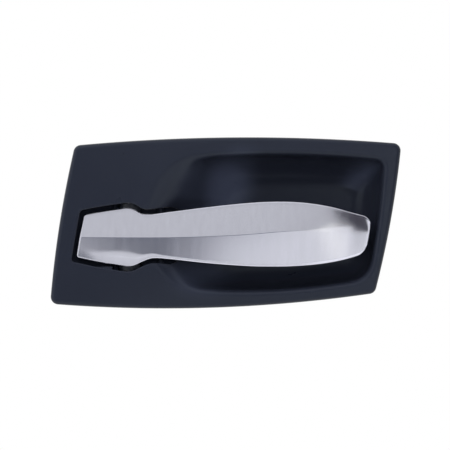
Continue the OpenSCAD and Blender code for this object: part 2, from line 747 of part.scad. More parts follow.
// Hinge pin with its head on the upper ear and a groove under the lower one
pin_top = ear_top_z + ear_t;
pin_low = ear_bottom_z - ear_t;
clip_t = 0.8;
groove_r = pin_r - 0.6;
module hinge_pin() {
    color(steel_colour) from_panel() translate([hinge_x, hinge_depth, 0]) rotate_extrude() polygon([
        [0, pin_low - 2.2],
        [pin_r - 0.4, pin_low - 2.2],
        [pin_r, pin_low - 1.8],
        [pin_r, pin_low - 0.1 - clip_t],
        [groove_r, pin_low - 0.1 - clip_t],
        [groove_r, pin_low],
        [pin_r, pin_low],
        [pin_r, pin_top],
        [pin_r + 1.4, pin_top],
        [pin_r + 1.4, pin_top + 0.9],
        [pin_r + 0.9, pin_top + 1.4],
        [0, pin_top + 1.4]
    ]);
}
module pin_clip() {
    z0 = pin_low - 0.05 - clip_t;
    color(steel_colour) from_panel() difference() {
        rod(hinge_x, hinge_depth, z0, z0 + clip_t - 0.05, pin_r + 1.8);
        rod(hinge_x, hinge_depth, z0 - 1, z0 + 2, groove_r + 0.03);
        block(hinge_x - groove_r * 0.8, hinge_x + groove_r * 0.8, hinge_depth, hinge_depth + 8, z0 - 1, z0 + 2);
        for (a = [200, 340])
            rod(hinge_x + 3.1 * cos(a), hinge_depth + 3.1 * sin(a), z0 - 1, z0 + 2, 0.6);
    }
}
module bush(z_hub, dir) {
    color(acetal_colour) from_panel() translate([hinge_x, hinge_depth, z_hub])
        mirror([0, 0, dir > 0 ? 0 : 1]) difference() {
            union() {
                translate([0, 0, -6.5]) cylinder(h = 6.5 + 0.1, r = pin_r + bush_wall);
                cylinder(h = flange_t, r = hub_r);
            }
            translate([0, 0, -8]) cylinder(h = 12, r = pin_r + run_gap);
        }
}
module hinge_bush_upper() {
    bush(hub_top, 1);
}
module hinge_bush_lower() {
    bush(hub_bottom, -1);
}

// Return spring: a helix of round wire, one leg on the carrier's back wall and the other
// on the back of the lever's head
coil_r = pin_r + 0.75 + wire_r;
coil_z0 = hub_bottom + low_hub_len + wire_r + 0.4;
coil_z1 = hub_top - hub_len - wire_r - 0.4;
wire_sides = 6;
coil_steps = 14;
leg_reach = 13;
coil_turn = 360 * (spring_turns - 0.25);
function coil_point(f) =
    let (a = 180 + coil_turn * f)
    [hinge_x + coil_r * cos(a), hinge_depth + coil_r * sin(a), lerp(coil_z0, coil_z1, f)];
function wire_path() = concat(
    [[hinge_x - coil_r, web_y - wire_r - 0.1, coil_z0]],
    [for (i = [0:spring_turns * coil_steps]) coil_point(i / (spring_turns * coil_steps))],
    [[hinge_x - leg_reach, cover_back(hinge_x - leg_reach) + wire_r + 0.2, coil_z1]]
);
function wire_ring(p, i) =
    let (
        n = len(p),
        d = unit(p[min(i + 1, n - 1)] - p[max(i - 1, 0)]),
        u = unit(cross(d, [0, 0, 1])),
        v = cross(u, d)
    ) [for (k = [0:wire_sides - 1]) p[i] + wire_r * (u * cos(360 * k / wire_sides) + v * sin(360 * k / wire_sides))];
module return_spring() {
    p = wire_path();
    color(steel_colour) from_panel() skin([for (i = [0:len(p) - 1]) wire_ring(p, i)]);
}

screw_head_t = 2;
screw_head_r = 3;
screw_r = 1.25;
module plate_screws() {
    color(steel_colour) from_panel() for (p = lug_at) {
        peg(p[0], p[1], -2, lug_y + lug_t + 0.2, screw_r);
        peg(p[0], p[1], lug_y + lug_t, lug_y + lug_t + screw_head_t, screw_head_r);
    }
}

// Sprung steel clip folded over the end of a moulded tab
clip_strip = 0.5;
clip_w = 6;
module panel_clip(k) {
    p = tab_at[k];
    inner = tab_t / 2 + 0.05;
    outer = inner + clip_strip;
    color(steel_colour) from_panel() translate([p[0] - clip_w / 2, 0, p[1]]) rotate([90, 0, 90])
        linear_extrude(height = clip_w) polygon([
            [1, inner],
            [tab_end + 0.05, inner],
            [tab_end + 0.05, -inner],
            [1, -inner],
            [1, -outer],
            [tab_end - 1.8, -outer],
            [4.2, -outer - 0.25],
            [4.4, -outer - 0.65],
            [tab_end - 0.9, -outer],
            [tab_end + 0.55, -outer],
            [tab_end + 0.55, outer],
            [tab_end - 0.9, outer],
            [4.4, outer + 0.65],
            [4.2, outer + 0.25],
            [tab_end - 1.8, outer],
            [1, outer]
        ]);
}
module panel_clip_1() {
    panel_clip(0);
}
module panel_clip_2() {
    panel_clip(1);
}
module panel_clip_3() {
    panel_clip(2);
}
module panel_clip_4() {
    panel_clip(3);
}

// Foam pads stuck to the back of the pocket
pad_t = 3;
pad_w = 14;
pad_h = 18;
pad_in = 10;
pad_right_in = 26;
module foam_pad(x) {
    y0 = pocket_depth + plate_wall;
    color(foam_colour) from_panel() block(x - pad_w / 2, x + pad_w / 2, y0, y0 + pad_t, -pad_h / 2, pad_h / 2);
}
module foam_pad_left() {
    foam_pad(pocket_left + ramp_len + pad_in);
}
module foam_pad_right() {
    foam_pad(pocket_right - pad_right_in);
}

trim_plate();
rear_carrier();
lever_cover();
lever_core();
hinge_pin();
hinge_bush_upper();
hinge_bush_lower();
pin_clip();
return_spring();
rest_bumper();
open_bumper();
plate_screws();
cover_screws();
panel_clip_1();
panel_clip_2();
panel_clip_3();
panel_clip_4();
foam_pad_left();
foam_pad_right();
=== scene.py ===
"""Car interior door handle: its looks, built round the packed frame."""

import json
import math

import bmesh
import bpy
import numpy as np
from bpy.props import FloatProperty, FloatVectorProperty, PointerProperty
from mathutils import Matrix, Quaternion, Vector
from mathutils.bvhtree import BVHTree


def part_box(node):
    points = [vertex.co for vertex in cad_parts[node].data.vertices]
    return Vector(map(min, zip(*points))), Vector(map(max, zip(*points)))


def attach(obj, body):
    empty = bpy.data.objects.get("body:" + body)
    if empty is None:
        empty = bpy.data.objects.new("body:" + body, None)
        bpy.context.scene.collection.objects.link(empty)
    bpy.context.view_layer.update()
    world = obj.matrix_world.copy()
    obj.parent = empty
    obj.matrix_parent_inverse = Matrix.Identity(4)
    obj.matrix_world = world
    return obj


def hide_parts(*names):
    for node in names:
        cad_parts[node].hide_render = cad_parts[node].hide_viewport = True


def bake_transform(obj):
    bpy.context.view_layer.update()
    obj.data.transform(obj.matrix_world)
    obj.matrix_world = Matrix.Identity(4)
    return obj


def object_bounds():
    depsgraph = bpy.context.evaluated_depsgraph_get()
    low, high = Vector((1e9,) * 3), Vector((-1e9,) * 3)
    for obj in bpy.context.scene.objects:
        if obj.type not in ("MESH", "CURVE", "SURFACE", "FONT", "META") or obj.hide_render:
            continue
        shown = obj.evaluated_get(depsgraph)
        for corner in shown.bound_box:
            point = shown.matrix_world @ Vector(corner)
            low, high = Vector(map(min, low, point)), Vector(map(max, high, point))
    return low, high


bl_info = {
    "name": "Car interior door handle",
    "version": (1, 0, 0),
    "blender": (4, 5, 0),
    "location": "3D View > Sidebar > Door handle",
    "description": "Trim plate, chromed pull lever and working parts of a car's inside door handle",
    "category": "Object",
}

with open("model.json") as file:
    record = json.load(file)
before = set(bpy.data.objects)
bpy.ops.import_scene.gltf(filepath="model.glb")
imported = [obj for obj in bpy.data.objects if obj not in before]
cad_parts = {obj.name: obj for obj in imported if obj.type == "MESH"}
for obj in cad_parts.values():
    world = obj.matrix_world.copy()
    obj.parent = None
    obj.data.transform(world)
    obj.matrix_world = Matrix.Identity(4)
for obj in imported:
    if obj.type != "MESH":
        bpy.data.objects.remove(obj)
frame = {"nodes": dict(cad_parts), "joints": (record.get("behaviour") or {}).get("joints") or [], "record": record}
cad_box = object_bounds()

MM = 0.001
HINGE = Vector(frame["joints"][0]["pos_m"])
# Place of the door panel's face in the frame, which counts its depth from the fixing plane
PANEL_Y = -0.024
# Steps along an outline's bottom, right, top and left sides, and round each of its corners
SIDE_SHARES = (110, 46, 110, 46)
CORNER_SHARES = 12
# Bosses for the carrier's screws: places across from the hinge axis, and up the handle
LUG_ACROSS = (-8.4 * MM, 12 * MM)
LUG_UP = (17.5 * MM, -31 * MM)
# Clip tabs: share along the plate's edge, and 1 for the upper or -1 for the lower edge
TAB_PLACES = ((0.363, 1), (0.442, -1), (0.697, 1), (0.092, -1))
# Screw posts inside the cover: one from the head's free end, the others from the hinge axis
POST_IN_HEAD = 8.5 * MM
POST_ALONG = (34 * MM, 84 * MM)
# Crease angles in degrees above which an edge stays sharp
PLATE_CREASE, COVER_CREASE = 24, 50
# Numbers of the colour sockets on Blender's mix node, and the kind of a plain value's socket
MIX_A, MIX_B, MIX_OUT = 6, 7, 2
VALUE = "NodeSocketFloat"


# Sizes and colours


def length(name, description, default):
    """Size whose default is given in mm."""
    return FloatProperty(
        name=name, description=description, default=default * MM, unit="LENGTH", subtype="DISTANCE"
    )


def angle(name, description, default):
    """Angle whose default is given in degrees."""
    return FloatProperty(
        name=name, description=description, default=math.radians(default), unit="ROTATION"
    )


def number(name, description, default):
    return FloatProperty(name=name, description=description, default=default, min=0)


def paint(name, description, default):
    return FloatVectorProperty(
        name=name, description=description, default=default, size=3, min=0, max=1, subtype="COLOR"
    )


class PlateSizes(bpy.types.PropertyGroup):
    """Sizes of the trim plate, its pocket and the bosses and tabs behind it"""

    top: length("Top edge", "Length of the plate along its top edge", 143.9)
    bottom: length("Bottom edge", "Length of the plate along its bottom edge", 143.1)
    left: length("Left end", "Height of the plate at its left end", 69.8)
    right: length("Right end", "Height of the plate at its right end", 65.9)
    rake: length("Rake", "How far the top edge stands to the right of the bottom edge", 11.3)
    rise: length("Rise", "How far the right end stands above the left end", 2.75)
    top_bow: length("Top bow", "Outward bow of the top edge", 3.2)
    bottom_bow: length("Bottom bow", "Outward bow of the bottom edge", 4.05)
    end_bow: length("End bow", "Outward bow of the two ends", 1.35)
    corner: length("Corner radius", "Corner radius of the outline", 3.4)
    side_wall: length("Side wall", "Height of the upright side wall", 2.2)
    roll: length("Edge roll", "Radius of the rolled edge", 1.8)
    crown: length("Crown", "Extra height of the crowned face at its middle", 2.6)
    wall: length("Wall", "Wall thickness", 2.2)
    pocket_depth: length("Pocket depth", "Depth of the pocket floor behind the panel face", 18)
    pocket_length: length("Pocket length", "Length of the pocket mouth", 101)
    pocket_height: length("Pocket height", "Height of the pocket mouth at its corners", 52.5)
    pocket_right: length("Pocket right end", "Distance of the pocket's right end from the middle", 69.6)
    pocket_rim: length("Pocket rim", "Width of the rounding round the pocket's mouth", 2.4)
    ramp_start: length("Ramp start", "From the pocket's left end to where its ramp starts to steepen", 4)
    ramp: length("Ramp length", "Length over which the left ramp steepens into the walls", 30)
    lip: length("Lip radius", "Radius of the lip round the lever's opening", 0.6)
    gap_end: length("End gap", "Gap between the head's end and the opening", 1.65)
    gap_side: length("Side gap", "Gap above and below the head", 2.1)
    boss_across: length("Boss spacing across", "Spacing of the fixing bosses along the handle", 116)
    boss_up: length("Boss spacing up", "Spacing of the fixing bosses up the handle", 52)
    boss: length("Boss radius", "Radius of the fixing bosses", 3.4)
    boss_hole: length("Boss hole", "Radius of the screw holes in the fixing bosses", 1.6)
    hole_depth: length("Hole depth", "Depth of the screw holes in the fixing bosses", 12)
    fin: length("Fin", "Thickness of the fins on the fixing bosses", 1.6)
    lug: length("Lug boss radius", "Radius of the bosses for the carrier's screws", 3.1)
    lug_hole: length("Lug hole", "Radius of the holes for the carrier's screws", 1.3)
    tab: length("Tab thickness", "Thickness of the tabs for the panel clips", 1.4)
    tab_width: length("Tab width", "Width of the tabs for the panel clips", 9)
    tab_inset: length("Tab inset", "Distance of the tabs from the plate's edge", 4.3)


class LeverSizes(bpy.types.PropertyGroup):
    """Sizes of the lever's cover"""

    head: length("Head length", "From the hinge axis to the head's free end", 22.1)
    blade: length("Blade length", "From the hinge axis to the tip of the blade", 105.9)
    head_h: length("Head height", "Height of the head at the hinge", 26)
    neck_h: length("Neck height", "Height of the neck", 19.5)
    blade_h: length("Blade height", "Greatest height of the blade", 28.8)
    tip_h: length("Tip height", "Height of the blade before its rounded tip", 13.8)
    ridge_head: length("Ridge at the head", "Reach of the ridge at the head's free end", 5)
    ridge_hinge: length("Ridge at the hinge", "Reach of the ridge at the hinge", 7)
    ridge_blade: length("Ridge at the blade", "Reach of the ridge at the blade's middle", 10.6)
    ridge_tip: length("Ridge at the tip", "Reach of the ridge at the tip", 5.8)
    depth: length("Depth", "From the ridge to the lever's back", 7.4)
    wall: length("Cover wall", "Wall thickness of the chromed cover", 1.8)
    edge: length("Edge radius", "Radius of the cover's long edges", 0.8)
    upper: angle("Upper facet", "Slope of the upper facet", 14)
    lower: angle("Lower facet", "Slope of the lower facet", 8)
    bevel: angle("Bevel", "Slope of the lower bevel", 24)
    post: length("Screw post", "Radius of the screw posts inside the cover", 2.6)


class SpringSizes(bpy.types.PropertyGroup):
    """Sizes of the return spring"""

    wire: length("Wire radius", "Radius of the spring's wire", 0.6)
    coil: length("Coil radius", "Radius of the coil's centreline", 3.85)
    turns: number("Turns", "Turns of the coil", 5.75)


class Finishes(bpy.types.PropertyGroup):
    """Colours of the finishes"""

    plate: paint("Trim plate", "Moulded satin plastic of the trim plate", (0.0087, 0.0102, 0.0166))
    chrome: paint("Lever", "Satin chrome of the lever", (0.72, 0.728, 0.825))
    carrier: paint("Carrier", "Glass-filled plastic of the carrier", (0.012, 0.015, 0.026))
    core: paint("Lever core", "Plastic of the lever's core", (0.0085, 0.0105, 0.016))
    steel: paint("Pin", "Bright steel of the pin and its clip", (0.52, 0.52, 0.53))
    zinc: paint("Screws", "Zinc plating of the screws and clips", (0.5, 0.51, 0.53))
    spring: paint("Spring", "Drawn spring steel", (0.32, 0.32, 0.33))
    acetal: paint("Bushes", "Dark acetal of the bushes", (0.006, 0.0075, 0.012))
    rubber: paint("Stops", "Rubber of the stops", (0.018, 0.018, 0.018))
    foam: paint("Pads", "Foam of the anti-rattle pads", (0.05, 0.05, 0.055))


class StageSizes(bpy.types.PropertyGroup):
    """Field of view and strengths of the lamps"""

    view_width: length("Field of view", "Width of the field at the plate's face", 198)
    aim_x: length("Aim across", "Place of the picture's centre along the handle", -0.13)
    aim_z: length("Aim height", "Place of the picture's centre up the handle", -1.52)
    camera_reach: length("Camera distance", "Distance of the camera", 2600)
    floor_drop: length("Floor drop", "Height of the floor", -200)
    key_power: number("Key lamp", "Power of the key lamp in watts", 9)
    fill_power: number("Fill lamp", "Power of the fill lamp in watts", 3.5)
    front_power: number("Front lamp", "Power of the lamp beside the camera in watts", 7.5)
    ramp_power: number("Ramp lamp", "Power of the soft spot on the pocket's left ramp in watts", 7)
    low_power: number("Low lamp", "Power of the soft spot low in the pocket in watts", 12)
    pocket_power: number("Pocket lamp", "Power of the soft spot in the pocket in watts", 25)
    corner_power: number("Corner lamp", "Power of the soft spot in the pocket's corner in watts", 16)
    surround: number("Surround", "Strength of the surrounding light", 0.55)


# Shapes shared by the pieces


def smooth(t):
    """Soft step from 0 to 1 as t goes from 0 to 1."""
    t = np.clip(t, 0, 1)
    return t * t * (3 - 2 * t)


def unit(v):
    """Vector v at length 1."""
    return v / np.linalg.norm(v)


def right_of(d):
    """Flat direction at right angles to d, on its right-hand side."""
    return unit(np.array([d[1], -d[0]]))


def bowed(a, b, rise, t):
    """Bowed line from a to b, swelling to its right-hand side by rise."""
    return a + (b - a) * t + right_of(b - a) * (4 * rise * t * (1 - t))


def bowed_heading(a, b, rise, t):
    """Direction of the bowed line from a to b at share t."""
    return unit(b - a + right_of(b - a) * (4 * rise * (1 - 2 * t)))


def bend(a, b, c, t):
    """Place at share t of the curve from a to c that is drawn towards b."""
    return a * (1 - t) ** 2 + b * 2 * t * (1 - t) + c * t * t


def bend_points(a, b, c, count):
    """Points from a to c on the curve that is drawn towards b."""
    a, b, c = np.array(a), np.array(b), np.array(c)
    return [bend(a, b, c, t) for t in np.linspace(0, 1, count)]


def arc(x, y, radius, start, end, count):
    """Points on a circle round (x, y), from angle start to angle end in degrees."""
    turn = np.linspace(math.radians(start), math.radians(end), count)
    return [(x + radius * math.cos(a), y + radius * math.sin(a)) for a in turn]


def oblong(left, right, half, shifts):
    """Corners of an oblong of height 2 * half, from the lower left, each moved by its own shift."""
    corners = np.array([(left, -half), (right, -half), (right, half), (left, half)])
    return corners + np.array(shifts)


def closed_outline(corners, swell, radii):
    """Four-cornered outline with bowed sides and rounded corners, counter-clockwise from the front."""
    c = np.array(corners, float)
    turn = []
    for k in range(4):
        u = bowed_heading(c[k - 1], c[k], swell[k - 1], 1)
        v = bowed_heading(c[k], c[(k + 1) % 4], swell[k], 0)
        turn.append(math.acos(float(u @ v)))
    trim = [radii[k] * math.tan(turn[k] / 2) for k in range(4)]

    def side(k, f):
        e = (k + 1) % 4
        long = np.linalg.norm(c[e] - c[k])
        t0, t1 = trim[k] / long, 1 - trim[e] / long
        return bowed(c[k], c[e], swell[k], t0 + (t1 - t0) * f)

    points = []
    for k in range(4):
        a, b, w = side((k + 3) % 4, 1), side(k, 0), math.cos(turn[k] / 2)
        for j in range(1, CORNER_SHARES):
            t = j / CORNER_SHARES
            q = (1 - t) ** 2 + 2 * w * t * (1 - t) + t * t
            points.append((a * (1 - t) ** 2 + c[k] * 2 * w * t * (1 - t) + b * t * t) / q)
        points += [side(k, j / SIDE_SHARES[k]) for j in range(SIDE_SHARES[k] + 1)]
    return np.array(points)


def grown(p, d):
    """Outline p moved outwards by d, which may differ from point to point."""
    along = np.roll(p, -1, axis=0) - np.roll(p, 1, axis=0)
    out = np.stack([along[:, 1], -along[:, 0]], axis=1)
    out /= np.linalg.norm(out, axis=1)[:, None]
    return p + out * np.reshape(d, (-1, 1))


def in_depth(p, y):
    """Flat outline p set at depth y behind the panel's face, in the shared frame."""
    y = np.broadcast_to(y, len(p))
    return np.stack([p[:, 0], y + PANEL_Y, p[:, 1]], axis=1)


def skin(rings, closed=True):
    """Points and faces of a skin over rings with equal numbers of points, capped at both ends."""
    n, points = len(rings[0]), np.concatenate(rings)
    faces = []
    for k in range(len(rings) - 1):
        for i in range(n):
            j = (i + 1) % n
            face = (k * n + i, (k + 1) * n + i, (k + 1) * n + j, k * n + j)
            faces.append(face)
    if closed:
        faces.insert(0, tuple(range(n)))
        faces.append(tuple((len(rings) - 1) * n + i for i in range(n - 1, -1, -1)))
    return points, faces


def new_piece(name, points, faces, crease=32):
    """Mesh object with doubled points joined, smooth apart from edges sharper than crease."""
    mesh = bpy.data.meshes.new(name)
    mesh.from_pydata([tuple(p) for p in points], [], faces)
    shape = bmesh.new()
    shape.from_mesh(mesh)
    bmesh.ops.remove_doubles(shape, verts=shape.verts, dist=1e-6)
    bmesh.ops.dissolve_degenerate(shape, edges=shape.edges, dist=1e-7)
    bmesh.ops.recalc_face_normals(shape, faces=shape.faces)
    shape.to_mesh(mesh)
    shape.free()
    finish_shading(mesh, crease)
    piece = bpy.data.objects.new(name, mesh)
    bpy.context.scene.collection.objects.link(piece)
    return piece


def extend(piece, parts):
    """Adds closed skins, given as points and faces, to a piece that they grow out of."""
    shape = bmesh.new()
    shape.from_mesh(piece.data)
    for points, faces in parts:
        corners = [shape.verts.new(tuple(p)) for p in points]
        made = [shape.faces.new([corners[i] for i in face]) for face in faces]
        bmesh.ops.recalc_face_normals(shape, faces=made)
    shape.to_mesh(piece.data)
    shape.free()


def post(x, z, y0, y1, radius, hole, depth):
    """Round post along the depth, from y0 to y1, with a screw hole in its rear end."""
    turn = np.linspace(0, 2 * math.pi, 40, endpoint=False)
    ring = np.stack([np.cos(turn), np.sin(turn)], axis=1)
    soft = 0.25 * MM
    stations = [
        (radius, y0),
        (radius, y1 - soft),
        (radius - soft, y1),
        (hole + soft, y1),
        (hole, y1 - soft),
        (hole, y1 - depth),
    ]
    return skin([in_depth(ring * r + (x, z), y) for r, y in stations])


def slab(x, z, y, size_x, size_z, soft=0.2 * MM):
    """Flat-sided bar along the depth between the two places y, with softened rear edges."""
    half = np.array([(-1, -1), (1, -1), (1, 1), (-1, 1)]) * (size_x / 2, size_z / 2)
    full, small = half + (x, z), half * (1 - soft / (size_x / 2), 1 - soft / (size_z / 2)) + (x, z)
    return skin([in_depth(full, y[0]), in_depth(full, y[1] - soft), in_depth(small, y[1])])


def finish_shading(mesh, crease):
    """Shades a mesh smooth apart from edges sharper than crease, in degrees."""
    mesh.shade_smooth()
    mesh.set_sharp_from_angle(angle=math.radians(crease))


def cut(piece, tool):
    """Cuts tool out of piece and keeps the result as its mesh."""
    step = piece.modifiers.new("cut", "BOOLEAN")
    step.operation, step.object, step.solver = "DIFFERENCE", tool, "EXACT"
    view = bpy.context.evaluated_depsgraph_get()
    done = bpy.data.meshes.new_from_object(piece.evaluated_get(view))
    piece.modifiers.clear()
    old, piece.data = piece.data, done
    bpy.data.meshes.remove(old)
    bpy.data.objects.remove(tool)


# Forms of the trim plate and the lever


class PlateForm:
    """The plate's outlines and heights, worked out from its sizes."""

    # Corners of the pocket's mouth and floor off a plain oblong, from the lower left, and their bows
    mouth_shifts = ((0, -1.45 * MM), (-6.6 * MM, 1.25 * MM), (0, 0.3 * MM), (0, -0.4 * MM))
    mouth_bows = (3.9 * MM, 0.9 * MM, 3.1 * MM, 1 * MM)
    floor_shifts = ((36 * MM, 0), (-18 * MM, 1 * MM), (-14 * MM, 0), (35 * MM, 0))
    floor_bows = (1.5 * MM, 1 * MM, 1.5 * MM, 1 * MM)
    # How far the pocket's floor stays from its mouth, above and below
    floor_inset = 13 * MM
    # How steep the pocket's left ramp is, of 1, and how much of that it loses above the lever
    ramp_steepness, high_relief = 0.28, 0.85
    # Height over the hinge at which the ramp starts to lose it, and the height over which it does
    relief_from, relief_over = 11 * MM, 8 * MM
    # How far the bowl starts behind the face, and the share of the bowl that the rim's rounding takes
    rim_drop, rim_share = 0.3 * MM, 0.14
    # How far the crown runs past the plate's edge, across and up, and the power of its fall
    crown_margin, crown_power = (2 * MM, 1 * MM), 2.4

    def __init__(self, z):
        self.z = z
        left_low, right_low = z.left / 2 + z.rise / 2, z.right / 2 - z.rise / 2
        self.corners = np.array(
            [
                (-z.rake / 2 - z.bottom / 2, -left_low),
                (-z.rake / 2 + z.bottom / 2, -right_low),
                (z.rake / 2 + z.top / 2, z.right / 2 + z.rise / 2),
                (z.rake / 2 - z.top / 2, z.left / 2 - z.rise / 2),
            ]
        )
        self.edge = closed_outline(
            self.corners, (z.bottom_bow, z.end_bow, z.top_bow, z.end_bow), [z.corner] * 4
        )
        half, self.pocket_left = z.pocket_height / 2, z.pocket_right - z.pocket_length
        broad = z.pocket_height * 0.45
        self.mouth = closed_outline(
            oblong(self.pocket_left, z.pocket_right, half, self.mouth_shifts),
            self.mouth_bows,
            [broad, 11 * MM, 3.2 * MM, broad],
        )
        self.floor = closed_outline(
            oblong(self.pocket_left, z.pocket_right, half - self.floor_inset, self.floor_shifts),
            self.floor_bows,
            [7 * MM, 7 * MM, 6 * MM, 7 * MM],
        )

    def edge_ends(self, side):
        """Ends and bow of the plate's upper or lower edge, from left to right."""
        if side > 0:
            return self.corners[3], self.corners[2], self.z.top_bow
        return self.corners[0], self.corners[1], self.z.bottom_bow

    def along_edge(self, t, side, inset):
        """Place at share t along the plate's upper or lower edge, set in from it."""
        a, b, rise = self.edge_ends(side)
        return a + (b - a) * t + np.array((0, side * (4 * rise * t * (1 - t) - inset)))

    def share_at(self, x, side):
        """Share of the way along the plate's upper or lower edge at place x."""
        a, b, _ = self.edge_ends(side)
        return (x - a[0]) / (b[0] - a[0])

    def face(self, p):
        """Height of the crowned face in front of the panel."""
        z, power = self.z, self.crown_power
        across = z.top / 2 + z.rake / 2 + self.crown_margin[0]
        up = z.left / 2 + z.top_bow + self.crown_margin[1]
        share_x = np.maximum(0, 1 - np.abs(p[:, 0] / across) ** power)
        share_z = np.maximum(0, 1 - np.abs(p[:, 1] / up) ** power)
        return z.side_wall + z.roll + z.crown * share_x * share_z

    def bowl(self, rim, rim_h, floor_h, f):
        """Ring of the pocket's bowl at share f of the way in: steep all round but at its left end."""
        z = self.z
        high = smooth((self.mouth[:, 1] - HINGE.z - self.relief_from) / self.relief_over)
        soft = self.ramp_steepness * (1 - self.high_relief * high)
        steep = soft + (1 - soft) * smooth((self.mouth[:, 0] - self.pocket_left - z.ramp_start) / z.ramp)
        inwards = f + (1 - math.cos(math.pi / 2 * f) - f) * steep
        down = smooth(f) + (math.sin(math.pi / 2 * f) - smooth(f)) * steep
        p = rim + (self.floor - rim) * inwards[:, None]
        return in_depth(p, -(rim_h + (floor_h - rim_h) * down))

    def front(self):
        """Rings from the plate's rear edge over its rolled edge and face to the pocket's floor."""
        z, rings = self.z, []
        inner = grown(self.edge, -z.roll)
        inner_h = self.face(inner)
        for v in np.linspace(0, math.pi / 2, 9):
            p = grown(self.edge, -z.roll * (1 - math.cos(v)))
            rings.append(in_depth(p, -(z.side_wall + (inner_h - z.side_wall) * math.sin(v))))
        rim = grown(self.mouth, z.pocket_rim)
        for f in np.linspace(0, 1, 13)[1:]:
            p = inner + (rim - inner) * f
            rings.append(in_depth(p, -self.face(p)))
        rim_h = self.face(self.mouth) - self.rim_drop
        start, corner = rings[-1], in_depth(self.mouth, -self.face(self.mouth))
        end = self.bowl(self.mouth, rim_h, -z.pocket_depth, self.rim_share)
        for t in (0.14, 0.28, 0.42, 0.57, 0.72, 0.86):
            rings.append(bend(start, corner, end, t))
        for f in np.linspace(self.rim_share, 1, 26):
            rings.append(self.bowl(self.mouth, rim_h, -z.pocket_depth, f))
        return rings

    def back(self):
        """Rings from the back of the pocket's floor to the plate's rear edge."""
        z = self.z
        inner, outer = grown(self.edge, -z.wall), grown(self.mouth, z.wall)
        outer_h = self.face(outer) - z.wall
        rings = [
            self.bowl(outer, outer_h, -z.pocket_depth - z.wall, f) for f in np.linspace(1, 0.06, 14)
        ]
        for f in (1, 0.75, 0.5, 0.25, 0.04):
            p = inner + (outer - inner) * f
            rings.append(in_depth(p, z.wall - self.face(p)))
        return rings + [in_depth(inner, 0), in_depth(self.edge, 0)]


